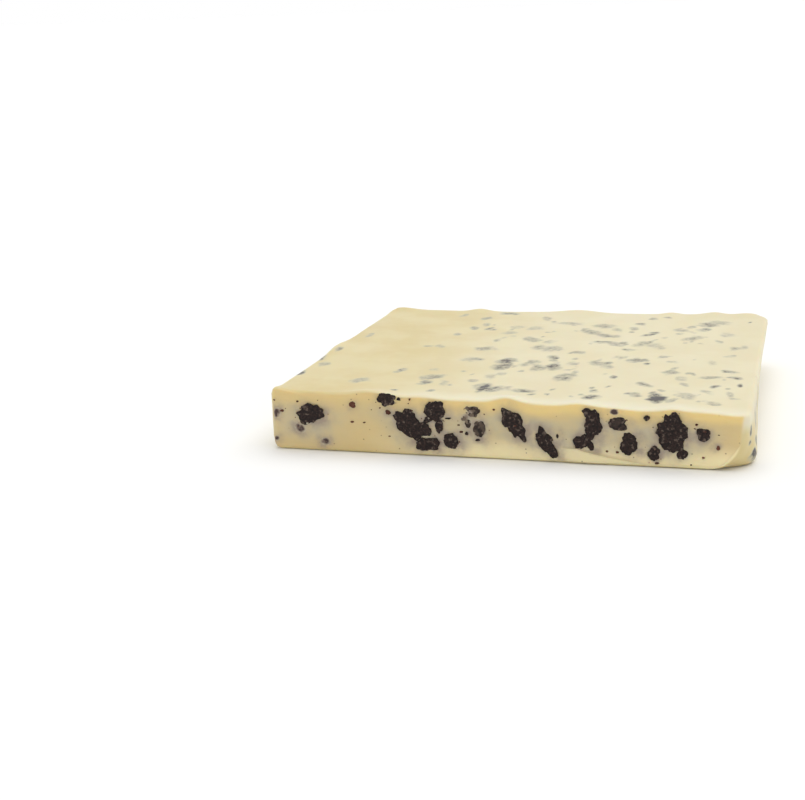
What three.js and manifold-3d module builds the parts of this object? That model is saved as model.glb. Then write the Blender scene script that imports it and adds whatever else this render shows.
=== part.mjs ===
// A hand-cut slab of white chocolate with crushed dark wafer biscuit set through it.
// It lies flat, as it was poured: X runs along the cut front face, Y towards the back and Z up.
// The origin is under the middle of the slab, in the plane that it rests on.
import * as THREE from "three";
import { mergeVertices } from "three/addons/utils/BufferGeometryUtils.js";
import Module from "manifold-3d";

// Driving dimensions, in millimetres
const LENGTH = 101; // along the cut front face
const DEPTH = 90; // from the front face to the back wall, before that wall is set out of square
const THICKNESS_LEFT = 13.1;
const THICKNESS_RIGHT = 12.1; // at the front
const THICKNESS_BACK_RIGHT = 12.6;
const BACK_LEFT_SHORT = 1.4; // the back wall stops this much short at its left end
const BACK_RIGHT_OVER = 4; // and runs over by this much at its right end
const BACK_LEFT_INSET = 1.4; // the left wall closes in by this much at the back
const BACK_RIGHT_INSET = 0.5; // and the right wall by this much
// How far the right wall leans in at its base, which is outwards at the front
const RIGHT_LEAN = { front: -1.8, back: 3.2 };
const BACK_DRAFT = 1.2; // the back wall leans in by this much at its base

// How each wall turns under into the base, and over into the top
const FOOT_ROUND = { left: 2.7, right: 2, front: 1, back: 6 };
// The cut face's lower right corner is pulled in: it leans in by this much at the base and ends in
// a round there. The pull runs out this far back from the face, and this far along it
const CUT_CORNER = { lean: 3, round: 6, back: 3.4, along: 25 };
const RIM_ROUND = { left: 1.6, right: 1.2, front: 1.1, back: 1.3 };
// The upright corners, seen from above
const CORNER_ROUND = { frontLeft: 1.5, frontRight: 1.8, backLeft: 4, backRight: 5 };

// Soft lumps and dips in the front rim: place from the left end, height, and half the width
const RIM_SWELLS = [
  { at: 1, rise: 0.7, spread: 3 },
  { at: 22.5, rise: 0.9, spread: 4.5 },
  { at: 34, rise: 0.3, spread: 3 },
  { at: 52, rise: 1, spread: 3 },
  { at: 67, rise: 0.6, spread: 3.5 },
  { at: 79, rise: -0.3, spread: 4 },
  { at: 86, rise: 0.4, spread: 2.5 },
  { at: 98, rise: -0.4, spread: 4 },
];
const SWELL_REACH = 3.5; // how far a lump runs back over the top
// The same in the back rim, and along the left rim from the front
const BACK_SWELLS = [
  { at: 3, rise: 0.7, spread: 5 },
  { at: 25, rise: 0.7, spread: 3 },
  { at: 51.5, rise: 0.7, spread: 6 },
  { at: 76, rise: 0.45, spread: 2.5 },
  { at: 87, rise: 0.7, spread: 3.2 },
  { at: 95.5, rise: 0.65, spread: 4 },
];
const LEFT_SWELLS = [{ at: 42, rise: 0.8, spread: 7 }];

// Long shallow waves of the poured top and of the knife's path, as half the height and the length
const TOP_WAVE = { rise: 0.12, along: 37, across: 29 };
const CUT_WAVE = { rise: 0.14, along: 23, up: 9 };

// Wafer bits that the knife laid open in the front face: the middle's place from the left end and
// above the base, the width, the height, and how far the bit leans to the left, in degrees
const WAFER_BITS = [
  { x: 9.4, z: 8.3, wide: 5.9, high: 4, lean: -5 },
  { x: 6.6, z: 5, wide: 2.8, high: 2.2, lean: -30 },
  { x: 12.1, z: 2.2, wide: 2.4, high: 1.8, lean: 0 },
  { x: 18.7, z: 10.6, wide: 1.6, high: 1.5, lean: 0 },
  { x: 26, z: 11.9, wide: 3.2, high: 3.1, lean: 0 },
  { x: 27.4, z: 12.5, wide: 1.8, high: 1.2, lean: 0 },
  { x: 26.6, z: 9.3, wide: 1.2, high: 1, lean: 0 },
  { x: 31.1, z: 6.7, wide: 5, high: 6.8, lean: 25 },
  { x: 34.3, z: 5.9, wide: 3.2, high: 2.8, lean: 0 },
  { x: 36.9, z: 9.9, wide: 4.6, high: 4.3, lean: 0 },
  { x: 37.6, z: 6.7, wide: 1.6, high: 2.8, lean: 0 },
  { x: 35.1, z: 2.7, wide: 4.7, high: 2.9, lean: 0 },
  { x: 40.1, z: 3.5, wide: 3.1, high: 3.5, lean: 30 },
  { x: 44.7, z: 10.3, wide: 3.1, high: 2.4, lean: 0 },
  { x: 43.6, z: 7.6, wide: 1.6, high: 1.9, lean: 0 },
  { x: 46.3, z: 6.3, wide: 2.6, high: 3.6, lean: 20 },
  { x: 53.7, z: 7.9, wide: 3.6, high: 7, lean: 28 },
  { x: 60.3, z: 4, wide: 2.8, high: 6.6, lean: 32 },
  { x: 70, z: 8.5, wide: 3.5, high: 5.5, lean: 0 },
  { x: 68.8, z: 11, wide: 2, high: 1.9, lean: 0 },
  { x: 67.6, z: 4.8, wide: 3.4, high: 3.6, lean: -25 },
  { x: 74, z: 11.6, wide: 1.6, high: 1.2, lean: 0 },
  { x: 74.9, z: 9.1, wide: 3.8, high: 2.5, lean: -10 },
  { x: 77.2, z: 5, wide: 3.8, high: 4.3, lean: 10 },
  { x: 80.7, z: 10.4, wide: 1.3, high: 1.2, lean: 0 },
  { x: 82.1, z: 3, wide: 2.5, high: 2.7, lean: 0 },
  { x: 85.8, z: 7.5, wide: 5.9, high: 7.2, lean: 20 },
  { x: 87.8, z: 3.1, wide: 2.2, high: 2, lean: 45 },
  { x: 91.9, z: 7.3, wide: 2.7, high: 2.6, lean: 0 },
  { x: 95, z: 4.8, wide: 1.1, high: 1, lean: 0 },
  { x: 8, z: 6.6, wide: 2.4, high: 1.8, lean: -20 },
  { x: 35.2, z: 8.1, wide: 1.9, high: 1.3, lean: 30 },
  { x: 43.2, z: 9.1, wide: 1.8, high: 1.5, lean: 20 },
  { x: 69.4, z: 4, wide: 1.5, high: 2.2, lean: 10 },
];
const BIT_PROUD = 0.35; // how far the smallest bits stand out of the cut
const BIT_PROUD_SHARE = 0.05; // and how much more a bit does for its size
const CRAG = 0.16; // how uneven a bit is, as a share of its size
const BIT_SEED = 12;

// How many facets the slab has along X, Y and Z, and how much closer they lie at its edges
const FACETS = { x: 44, y: 26, z: 5 };
const CROWDING = 0.78;
const SMALL_BIT = 2; // a bit under this size has a third of the facets

const CHOCOLATE = { color: 0xe9e0b4, roughness: 0.45, metalness: 0 };

const wasm = await Module();
wasm.setup();

// A repeatable draw of numbers from 0 to 1.
function draws(seed) {
  const step = 1664525;
  const add = 1013904223;
  const size = 2 ** 32;
  let state = seed;
  return () => {
    state = (state * step + add) % size;
    return state / size;
  };
}

// A bell with its peak at the middle.
const bell = (distance, spread) => Math.exp(-((distance / spread) ** 2));

// A wave of the given length.
const wave = (place, length) => Math.sin((2 * Math.PI * place) / length);

// How far a quarter round of this radius has fallen at this distance inside its edge.
function fall(distance, radius) {
  const inside = Math.min(Math.max(distance / radius, 0), 1);
  return radius * (1 - Math.sqrt(1 - (1 - inside) ** 2));
}

// The deepest of the four falls at a place, each measured from its own wall.
function edgeFall(x, y, rounds) {
  return Math.max(
    fall(x, rounds.left),
    fall(LENGTH - x, rounds.right),
    fall(y, rounds.front),
    fall(DEPTH - y, rounds.back),
  );
}

// How high a rim's swells stand: the place along the rim, and the distance in from it.
function swellHeight(swells, along, inside) {
  const rise = swells.reduce((sum, s) => sum + s.rise * bell(along - s.at, s.spread), 0);
  return rise * bell(inside, SWELL_REACH);
}

// The height of the poured top.
function topHeight(x, y) {
  const right = THREE.MathUtils.lerp(THICKNESS_RIGHT, THICKNESS_BACK_RIGHT, y / DEPTH);
  const taper = THREE.MathUtils.lerp(THICKNESS_LEFT, right, x / LENGTH);
  const ripple = TOP_WAVE.rise * wave(x, TOP_WAVE.along) * wave(y, TOP_WAVE.across);
  const front = swellHeight(RIM_SWELLS, x, y);
  const back = swellHeight(BACK_SWELLS, x, DEPTH - y);
  const left = swellHeight(LEFT_SWELLS, y, x);
  return taper + ripple + front + back + left - edgeFall(x, y, RIM_ROUND);
}

// Moves a point of the square plan onto the round corner, ring by ring.
function roundCorner(point, cornerX, cornerY, radius) {
  const a = 1 - Math.abs(point.x - cornerX) / radius;
  const b = 1 - Math.abs(point.y - cornerY) / radius;
  if (a <= 0 || b <= 0) return;
  const pull = Math.max(a, b) / Math.hypot(a, b);
  const inX = Math.sign(LENGTH / 2 - cornerX);
  const inY = Math.sign(DEPTH / 2 - cornerY);
  point.x = cornerX + inX * radius * (1 - a * pull);
  point.y = cornerY + inY * radius * (1 - b * pull);
}

// Pulls in the lower right corner of the cut face.
function pullCorner(point) {
  const low = 1 - Math.min(point.z / THICKNESS_RIGHT, 1);
  const near = THREE.MathUtils.smoothstep(point.x, LENGTH - CUT_CORNER.along, LENGTH);
  const pull = CUT_CORNER.lean * low + fall(point.z, CUT_CORNER.round);
  point.x -= pull * near * bell(point.y, CUT_CORNER.back);
}

// Leans the right and back walls towards their bases, and takes the plan out of square.
function lean(point) {
  const u = point.x / LENGTH;
  const v = point.y / DEPTH;
  const low = 1 - point.z / THICKNESS_LEFT;
  point.x += v * THREE.MathUtils.lerp(BACK_LEFT_INSET, -BACK_RIGHT_INSET, u);
  point.x -= u * low * THREE.MathUtils.lerp(RIGHT_LEAN.front, RIGHT_LEAN.back, v);
  point.y += v * (THREE.MathUtils.lerp(-BACK_LEFT_SHORT, BACK_RIGHT_OVER, u) - BACK_DRAFT * low);
}

// The slab: a box of facets crowded towards the edges, with each point taken to its place.
function slabGeometry() {
  const box = new THREE.BoxGeometry(1, 1, 1, FACETS.x, FACETS.y, FACETS.z);
  const crowd = (t) => t - (CROWDING * wave(t, 1)) / (2 * Math.PI);
  const places = box.getAttribute("position");
  const point = new THREE.Vector3();
  for (let i = 0; i < places.count; i++) {
    point.fromBufferAttribute(places, i).addScalar(0.5);
    const height = point.z;
    point.x = crowd(point.x) * LENGTH;
    point.y = crowd(point.y) * DEPTH;
    const base = edgeFall(point.x, point.y, FOOT_ROUND);
    point.z = THREE.MathUtils.lerp(base, topHeight(point.x, point.y), height);
    const cut = CUT_WAVE.rise * wave(point.x, CUT_WAVE.along) * wave(point.z, CUT_WAVE.up);
    roundCorner(point, 0, 0, CORNER_ROUND.frontLeft);
    roundCorner(point, LENGTH, 0, CORNER_ROUND.frontRight);
    roundCorner(point, 0, DEPTH, CORNER_ROUND.backLeft);
    roundCorner(point, LENGTH, DEPTH, CORNER_ROUND.backRight);
    pullCorner(point);
    point.y += cut * bell(point.y, SWELL_REACH);
    lean(point);
    places.setXYZ(i, point.x, point.y, point.z);
  }
  return box;
}

// A craggy lump of the given half sizes, turned about Y and placed.
function lumpGeometry(half, turn, place, random) {
  const detail = 2 * Math.min(half.x, half.z) < SMALL_BIT ? 0 : 1;
  const lump = merged(new THREE.IcosahedronGeometry(1, detail));
  const places = lump.getAttribute("position");
  const point = new THREE.Vector3();
  for (let i = 0; i < places.count; i++) {
    point.fromBufferAttribute(places, i).multiplyScalar(1 + CRAG * (2 * random() - 1));
    point.multiply(half).applyAxisAngle(new THREE.Vector3(0, 1, 0), turn).add(place);
    places.setXYZ(i, point.x, point.y, point.z);
  }
  return lump;
}

// The wafer bits laid open in the front face, each a low craggy mound.
function bitGeometries() {
  const random = draws(BIT_SEED);
  return WAFER_BITS.map((bit) => {
    const proud = BIT_PROUD + BIT_PROUD_SHARE * Math.min(bit.wide, bit.high);
    const half = new THREE.Vector3(bit.wide / 2, proud, bit.high / 2);
    const turn = -THREE.MathUtils.degToRad(bit.lean);
    return lumpGeometry(half, turn, new THREE.Vector3(bit.x, 0, bit.z), random);
  });
}

// The same surface with one vertex for each place.
function merged(geometry) {
  const bare = new THREE.BufferGeometry().setIndex(geometry.index);
  bare.setAttribute("position", geometry.getAttribute("position"));
  return mergeVertices(bare, 1e-3);
}

// A closed surface as a solid body.
function solid(geometry) {
  const closed = merged(geometry);
  const vertProperties = new Float32Array(closed.getAttribute("position").array);
  const triVerts = new Uint32Array(closed.index.array);
  return new wasm.Manifold(new wasm.Mesh({ numProp: 3, vertProperties, triVerts }));
}

// A solid as a surface, with the middle of its base at the origin.
function standing(made) {
  const mesh = made.getMesh();
  const geometry = new THREE.BufferGeometry();
  geometry.setAttribute("position", new THREE.BufferAttribute(mesh.vertProperties, 3));
  geometry.setIndex(new THREE.BufferAttribute(mesh.triVerts, 1));
  geometry.computeBoundingBox();
  const { min, max } = geometry.boundingBox;
  geometry.translate(-(min.x + max.x) / 2, -(min.y + max.y) / 2, -min.z);
  geometry.computeVertexNormals();
  return geometry;
}

const pieces = [slabGeometry(), ...bitGeometries()].map(solid);
const bar = new THREE.Mesh(
  standing(wasm.Manifold.union(pieces)),
  new THREE.MeshStandardMaterial(CHOCOLATE),
);
bar.name = "bar";

const chocolateBar = new THREE.Group();
chocolateBar.add(bar);
export default chocolateBar;
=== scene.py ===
"""A slab of white chocolate with crushed wafer biscuit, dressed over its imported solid.

A fine surface of the same form replaces the solid. Dark wafer bits lie open in its cut front face,
with flecks between them. Elsewhere the wafer shows grey through a film of chocolate. Lengths are in
millimetres in the fields and functions here, and in metres in the meshes. X runs along the cut
face, Y towards the back and Z up, from the slab's front left foot.
"""

import logging
import math
from collections.abc import Iterable, Sequence
from dataclasses import dataclass, field
from enum import Enum

import bpy
import numpy as np
from mathutils import Matrix, Vector


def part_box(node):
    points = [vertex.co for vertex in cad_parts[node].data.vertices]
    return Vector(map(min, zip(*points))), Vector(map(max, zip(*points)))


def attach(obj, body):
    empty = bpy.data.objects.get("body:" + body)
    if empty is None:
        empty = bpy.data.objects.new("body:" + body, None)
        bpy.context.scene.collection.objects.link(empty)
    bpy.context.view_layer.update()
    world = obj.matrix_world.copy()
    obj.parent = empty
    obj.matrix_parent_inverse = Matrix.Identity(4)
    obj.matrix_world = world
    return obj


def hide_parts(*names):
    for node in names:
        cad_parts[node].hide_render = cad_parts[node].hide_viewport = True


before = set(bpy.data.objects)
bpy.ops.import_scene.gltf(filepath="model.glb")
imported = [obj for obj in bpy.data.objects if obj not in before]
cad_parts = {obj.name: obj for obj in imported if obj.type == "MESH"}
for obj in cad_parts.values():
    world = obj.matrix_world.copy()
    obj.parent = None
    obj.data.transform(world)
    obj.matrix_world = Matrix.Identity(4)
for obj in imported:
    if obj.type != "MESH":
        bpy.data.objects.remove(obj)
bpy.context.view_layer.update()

MM = 0.001
NEARLY_NONE = 1e-9
BODY = "root"
LOG = logging.getLogger("chocolate_bar")

Pair = tuple[float, float]
Triple = tuple[float, float, float]
Colour = tuple[float, float, float, float]


def srgb(red: int, green: int, blue: int) -> Colour:
    """A display colour as the linear colour that a shader takes.

    The sRGB curve is straight near black, and above that it is the 2.4th power of a shifted share.

    Args:
        red: The red channel, from 0 to 255.
        green: The green channel.
        blue: The blue channel.

    Returns:
        The three linear shares, and a whole alpha.
    """
    shares = np.array([red, green, blue]) / 255.0
    linear = np.where(shares <= 0.04045, shares / 12.92, ((shares + 0.055) / 1.055) ** 2.4)
    return (*map(float, linear), 1.0)


def bell(distance: np.ndarray, spread: float) -> np.ndarray:
    """A bell with its peak of 1 at no distance: e to the minus square of distance over spread."""
    return np.exp(-((distance / spread) ** 2))


def wave(place: np.ndarray, length: float) -> np.ndarray:
    """A sine wave of the given length."""
    return np.sin(2 * np.pi * place / length)


def ease(low: float, high: float, value: np.ndarray) -> np.ndarray:
    """A smooth step, 0 up to low and 1 from high on: 3t squared minus 2t cubed between them."""
    t = np.clip((value - low) / (high - low), 0, 1)
    return t * t * (3 - 2 * t)


def fall(distance: np.ndarray, radius: float) -> np.ndarray:
    """How far a quarter round has fallen at a distance inside its edge.

    The formula is a circle's: radius less the root of radius squared minus what is left squared.
    """
    inside = np.clip(distance / radius, 0, 1)
    return radius * (1 - np.sqrt(1 - (1 - inside) ** 2))


class Grit:
    """Seeded noise: random numbers on a lattice that repeats, joined by smooth steps.

    SIDE is how many draws the lattice has along each axis. APART is how far apart the layers are
    read, in millimetres.
    """

    SIDE = 48
    APART = 7.3

    def __init__(self, seed: int) -> None:
        """Draws the lattice from the seed."""
        self.table = np.random.default_rng(seed).uniform(-1, 1, (self.SIDE,) * 3)

    def lumps(self, points: np.ndarray, size: float) -> np.ndarray:
        """One layer of noise.

        Args:
            points: Places, one row each, in millimetres.
            size: The lattice's pitch, in millimetres.

        Returns:
            A number from -1 to 1 for each place: the eight corners' draws, by smooth steps.
        """
        cell = points / size
        base = np.floor(cell).astype(int)
        part = ease(0, 1, cell - base)
        total = np.zeros(len(points))
        for corner in np.ndindex(2, 2, 2):
            weight = np.where(corner, part, 1 - part).prod(axis=1)
            i, j, k = ((base + corner) % self.SIDE).T
            total += weight * self.table[i, j, k]
        return total

    def layered(self, points: np.ndarray, size: float, layers: int = 3) -> np.ndarray:
        """Layers of noise, each with half the lump size and half the height of the one before."""
        return sum(self.lumps(points + self.APART * k, size / 2**k) / 2**k for k in range(layers))


@dataclass(frozen=True)
class Grain:
    """Layered noise that stands out of a face.

    Attributes:
        height: Its height.
        size: The size of its largest lumps.
        layers: How many layers it has.
        squeeze: How much places are squeezed along X, which draws its lumps out.
        offset: How far the places are shifted, so that no two grains share their noise.
    """

    height: float
    size: float
    layers: int = 3
    squeeze: float = 1.0
    offset: float = 0.0

    def relief(self, grit: Grit, points: np.ndarray) -> np.ndarray:
        """How far it stands out at each point, in millimetres."""
        places = points * (self.squeeze, 1, 1) + self.offset
        return self.height * grit.layered(places, self.size, self.layers)


@dataclass(frozen=True)
class Rounds:
    """The rounded edges along the four walls.

    Attributes:
        left: The radius along the left wall.
        right: The radius along the right wall.
        front: The radius along the front wall.
        back: The radius along the back wall.
    """

    left: float
    right: float
    front: float
    back: float


@dataclass(frozen=True)
class Corner:
    """A round upright corner, seen from above.

    Attributes:
        right: Whether it is at the right end.
        back: Whether it is at the back.
        radius: Its radius.
    """

    right: bool
    back: bool
    radius: float


@dataclass(frozen=True)
class Swell:
    """A soft lump in a rim.

    Attributes:
        at: Its place along the rim.
        rise: Its height.
        spread: Half its width.
    """

    at: float
    rise: float
    spread: float


@dataclass(frozen=True)
class Ledge:
    """The thin lip that the knife left low on the front face and up round its right corner.

    Attributes:
        start: Where it starts along X.
        full: Where it is whole.
        narrow: Where it has narrowed.
        wide_band: Its width where it is whole.
        narrow_band: Its width once it has narrowed.
        side_band: Its reach in from the right wall.
        side_ends: Between which heights it ends there.
        proud: How far it stands out where it is whole.
        sinks: Between which places along X it sinks to its low share.
        low_share: How much of its relief is left there.
        soft: Half the width of its edge.
        taper: The power of its place along X by which it narrows.
    """

    start: float = 61.0
    full: float = 66.0
    narrow: float = 80.0
    wide_band: float = 3.3
    narrow_band: float = 0.5
    side_band: float = 1.9
    side_ends: Pair = (3.0, 9.0)
    proud: float = 0.36
    sinks: Pair = (70.0, 84.0)
    low_share: float = 0.2
    soft: float = 0.18
    taper: float = 0.7


@dataclass(frozen=True)
class CutCorner:
    """How the cut face's lower right corner is pulled in.

    Attributes:
        lean: How far it leans in at the foot.
        round: The radius of the round that it ends in there.
        back: How far back from the face the pull runs out.
        along: How far along the face, from the right wall, it runs out.
    """

    lean: float = 3.0
    round: float = 6.0
    back: float = 3.4
    along: float = 25.0


@dataclass(frozen=True)
class SlabForm:
    """The slab's true form, as its solid has it, with the finer relief of its faces.

    Attributes:
        length: Its length along the cut face.
        depth: Its depth.
        thickness_left: Its thickness at the left.
        thickness_right: Its thickness at the front right.
        thickness_back_right: Its thickness at the back right.
        back_left_short: How far its back left corner falls short of the depth.
        back_right_over: How far its back right corner lies past it.
        back_left_inset: How far its back left corner lies in from the left end.
        back_right_inset: How far its back right corner lies in from the right end.
        right_lean: How far the right wall's foot lies in from its rim, at the front and at the
            back. At the front it lies out.
        back_draft: How far the back wall's foot lies in from its rim.
        foot: The rounds along the foot.
        cut_corner: The cut face's lower right corner.
        rim: The rounds along the rim.
        corners: The upright corners.
        front_swells: The lumps in the front rim.
        back_swells: The lumps in the back rim.
        left_swells: The lumps in the left rim.
        swell_reach: How far in from the rim they reach.
        top_wave: The height of the top's long wave, and its length along X and along Y.
        cut_wave: The height of the wave in the knife's path, and its length along X and along Z.
        ledge: The thin lip on the front face.
        cut_grains: The finer relief of the cut face.
        poured_grain: The faint unevenness of the other faces.
        grit: Their noise.
    """

    length: float = 101.0
    depth: float = 90.0
    thickness_left: float = 13.1
    thickness_right: float = 12.1
    thickness_back_right: float = 12.6
    back_left_short: float = 1.4
    back_right_over: float = 4.0
    back_left_inset: float = 1.4
    back_right_inset: float = 0.5
    right_lean: Pair = (-1.8, 3.2)
    back_draft: float = 1.2
    foot: Rounds = Rounds(left=2.7, right=2.0, front=1.0, back=6.0)
    cut_corner: CutCorner = CutCorner()
    rim: Rounds = Rounds(left=1.6, right=1.2, front=1.1, back=1.3)
    corners: tuple[Corner, ...] = (
        Corner(right=False, back=False, radius=1.5),
        Corner(right=True, back=False, radius=1.8),
        Corner(right=False, back=True, radius=4.0),
        Corner(right=True, back=True, radius=5.0),
    )
    front_swells: tuple[Swell, ...] = (
        Swell(1, 0.7, 3),
        Swell(22.5, 0.9, 4.5),
        Swell(34, 0.3, 3),
        Swell(52, 1.0, 3),
        Swell(67, 0.6, 3.5),
        Swell(79, -0.3, 4),
        Swell(86, 0.4, 2.5),
        Swell(98, -0.4, 4),
    )
    back_swells: tuple[Swell, ...] = (
        Swell(3, 0.7, 5),
        Swell(25, 0.7, 3),
        Swell(51.5, 0.7, 6),
        Swell(76, 0.45, 2.5),
        Swell(87, 0.7, 3.2),
        Swell(95.5, 0.65, 4),
    )
    left_swells: tuple[Swell, ...] = (Swell(42, 0.8, 7),)
    swell_reach: float = 3.5
    top_wave: Triple = (0.12, 37.0, 29.0)
    cut_wave: Triple = (0.14, 23.0, 9.0)
    ledge: Ledge = Ledge()
    cut_grains: tuple[Grain, ...] = (Grain(0.11, 2.6, squeeze=0.6), Grain(0.04, 0.7, 2, 0.4, 31))
    poured_grain: Grain = Grain(0.06, 9.0, 2, offset=53)
    grit: Grit = field(default_factory=lambda: Grit(5))

    def edge_fall(self, x: np.ndarray, y: np.ndarray, rounds: Rounds) -> np.ndarray:
        """The deepest of the four walls' quarter rounds at each place of the plan.

        Args:
            x: Places along the cut face.
            y: Places towards the back.
            rounds: The radius along each wall.

        Returns:
            How far each place has fallen, in millimetres.
        """
        falls = (
            fall(x, rounds.left),
            fall(self.length - x, rounds.right),
            fall(y, rounds.front),
            fall(self.depth - y, rounds.back),
        )
        return np.maximum.reduce(falls)

    def swelling(
        self, swells: tuple[Swell, ...], along: np.ndarray, inside: np.ndarray
    ) -> np.ndarray:
        """How high a rim's swells stand: bells along the rim, times one bell in from it."""
        rise = sum(s.rise * bell(along - s.at, s.spread) for s in swells)
        return rise * bell(inside, self.swell_reach)

    def top(self, x: np.ndarray, y: np.ndarray) -> np.ndarray:
        """The height of the poured top.

        A straight taper from left to right, a long wave each way and the rims' swells, less the
        quarter rounds along the walls.

        Args:
            x: Places along the cut face.
            y: Places towards the back.

        Returns:
            The height at each place.
        """
        rise, along, across = self.top_wave
        u, v = x / self.length, y / self.depth
        right = self.thickness_right + (self.thickness_back_right - self.thickness_right) * v
        taper = self.thickness_left + (right - self.thickness_left) * u
        swell = (
            self.swelling(self.front_swells, x, y)
            + self.swelling(self.back_swells, x, self.depth - y)
            + self.swelling(self.left_swells, y, x)
        )
        ripple = rise * wave(x, along) * wave(y, across)
        return taper + ripple + swell - self.edge_fall(x, y, self.rim)

    def lip_share(self, x: np.ndarray) -> np.ndarray:
        """How far there is a lip at each place along the front face, from 0 to 1."""
        return ease(self.ledge.start, self.ledge.full, x)

    def lip_relief(self, x: np.ndarray) -> np.ndarray:
        """How far the lip stands out there, from 0 to 1."""
        sunk = (1 - self.ledge.low_share) * ease(*self.ledge.sinks, x)
        return self.lip_share(x) * (1 - sunk)

    def lip_gap(self, x: np.ndarray, z: np.ndarray) -> np.ndarray:
        """How far a place on the front face lies inwards of the lip.

        The lip is a band along the foot, which narrows from left to right, and then a band up the
        right side, which ends by a smooth step.

        Args:
            x: Places along the front face.
            z: Places up it.

        Returns:
            The gap to the nearer band, which is negative on it.
        """
        ledge = self.ledge
        narrowing = np.clip((x - ledge.full) / (ledge.narrow - ledge.full), 0, 1)
        band = ledge.wide_band + (ledge.narrow_band - ledge.wide_band) * narrowing**ledge.taper
        side = ledge.side_band * (1 - ease(*ledge.side_ends, z))
        return np.minimum(z - band, self.length - x - side)

    def cut(self, x: np.ndarray, z: np.ndarray) -> np.ndarray:
        """The front face's place along Y: the long waves of the knife's path, less the lip.

        Args:
            x: Places along the front face.
            z: Places up it.

        Returns:
            The place along Y at each of them.
        """
        rise, along, up = self.cut_wave
        soft = self.ledge.soft
        lip = (1 - ease(-soft, soft, self.lip_gap(x, z))) * self.lip_relief(x)
        return rise * wave(x, along) * wave(z, up) - self.ledge.proud * lip

    def cut_relief(self, points: np.ndarray) -> np.ndarray:
        """The finer relief of the cut face along its normal: the sum of its grains."""
        return sum(grain.relief(self.grit, points) for grain in self.cut_grains)

    def poured_relief(self, points: np.ndarray) -> np.ndarray:
        """The faint unevenness of the poured and moulded faces along their normals."""
        return self.poured_grain.relief(self.grit, points)

    def front(self, x: np.ndarray, z: np.ndarray) -> np.ndarray:
        """The finished front face's place along Y, with its finer relief."""
        places = np.stack([x, np.zeros_like(x), z], axis=1)
        return self.cut(x, z) - self.cut_relief(places)

    def round_corners(self, x: np.ndarray, y: np.ndarray) -> tuple[np.ndarray, np.ndarray]:
        """Takes the square plan's corners onto their quarter rounds, ring by ring.

        In each corner's square, a place keeps its ring, which is its larger share from the centre,
        and its direction, so each square ring becomes an arc.

        Args:
            x: Places along the cut face.
            y: Places towards the back.

        Returns:
            The moved places along X and along Y.
        """
        for corner in self.corners:
            across = self.length - x if corner.right else x
            inward = self.depth - y if corner.back else y
            a = np.maximum(1 - across / corner.radius, 0)
            b = np.maximum(1 - inward / corner.radius, 0)
            turned = (a > 0) & (b > 0)
            reach = np.maximum(np.hypot(a, b), NEARLY_NONE)
            pull = np.where(turned, np.maximum(a, b) / reach, 1)
            across = np.where(turned, corner.radius * (1 - a * pull), across)
            inward = np.where(turned, corner.radius * (1 - b * pull), inward)
            x = self.length - across if corner.right else across
            y = self.depth - inward if corner.back else inward
        return x, y

    def pulled(self, x: np.ndarray, y: np.ndarray, z: np.ndarray) -> np.ndarray:
        """The places along X with the cut face's lower right corner pulled in.

        The pull is a straight lean and a quarter round up from the foot. It falls off by a bell
        towards the back and by a smooth step along the face.

        Args:
            x: Places along the cut face.
            y: Places towards the back.
            z: Heights.

        Returns:
            The moved places along X.
        """
        corner = self.cut_corner
        low = 1 - np.minimum(z / self.thickness_right, 1)
        near = ease(self.length - corner.along, self.length, x)
        pull = corner.lean * low + fall(z, corner.round)
        return x - pull * near * bell(y, corner.back)

    def lean(self, x: np.ndarray, y: np.ndarray, z: np.ndarray) -> np.ndarray:
        """Leans the right and back walls, and takes the plan out of square.

        The shifts grow in proportion to the place's shares of the length, depth and height.

        Args:
            x: Places along the cut face.
            y: Places towards the back.
            z: Heights.

        Returns:
            The moved points, one row each.
        """
        u, v, low = x / self.length, y / self.depth, 1 - z / self.thickness_left
        inset = self.back_left_inset - (self.back_right_inset + self.back_left_inset) * u
        over = (self.back_right_over + self.back_left_short) * u - self.back_left_short
        front_lean, back_lean = self.right_lean
        moved_x = x + v * inset - u * low * (front_lean + (back_lean - front_lean) * v)
        moved_y = y + v * (over - self.back_draft * low)
        return np.stack([moved_x, moved_y, z], axis=1)


def box_lattice(columns: int, rows: int, layers: int) -> tuple[np.ndarray, np.ndarray]:
    """The lattice points on the surface of a unit box, and the quads that join them, facing out.

    Args:
        columns: Steps along X.
        rows: Steps along Y.
        layers: Steps along Z.

    Returns:
        The points as rows from 0 to 1, and the quads as rows of four point numbers.
    """
    steps = (columns, rows, layers)
    ids = np.full([n + 1 for n in steps], -1)
    places = np.indices(ids.shape)
    limits = np.array(steps).reshape(3, 1, 1, 1)
    outer = ((places == 0) | (places == limits)).any(axis=0)
    ids[outer] = np.arange(outer.sum())
    sheets = (
        ids[:, :, -1], ids[::-1, :, 0],
        ids[:, 0, :], ids[::-1, -1, :],
        ids[-1, :, :], ids[0, ::-1, :],
    )
    quads = [
        np.stack([s[:-1, :-1], s[1:, :-1], s[1:, 1:], s[:-1, 1:]], axis=-1).reshape(-1, 4)
        for s in sheets
    ]
    return (places / limits)[:, outer].T, np.concatenate(quads)


def vertex_normals(points: np.ndarray, quads: np.ndarray) -> np.ndarray:
    """Normals at the points: the sum of the cross products of the joining quads' diagonals.

    Args:
        points: The points, one row each.
        quads: The quads, as rows of four point numbers.

    Returns:
        A unit normal for each point.
    """
    a, b, c, d = (points[quads[:, k]] for k in range(4))
    across = np.cross(c - a, d - b)
    total = np.zeros_like(points)
    for k in range(4):
        np.add.at(total, quads[:, k], across)
    return total / np.linalg.norm(total, axis=1, keepdims=True)


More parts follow.
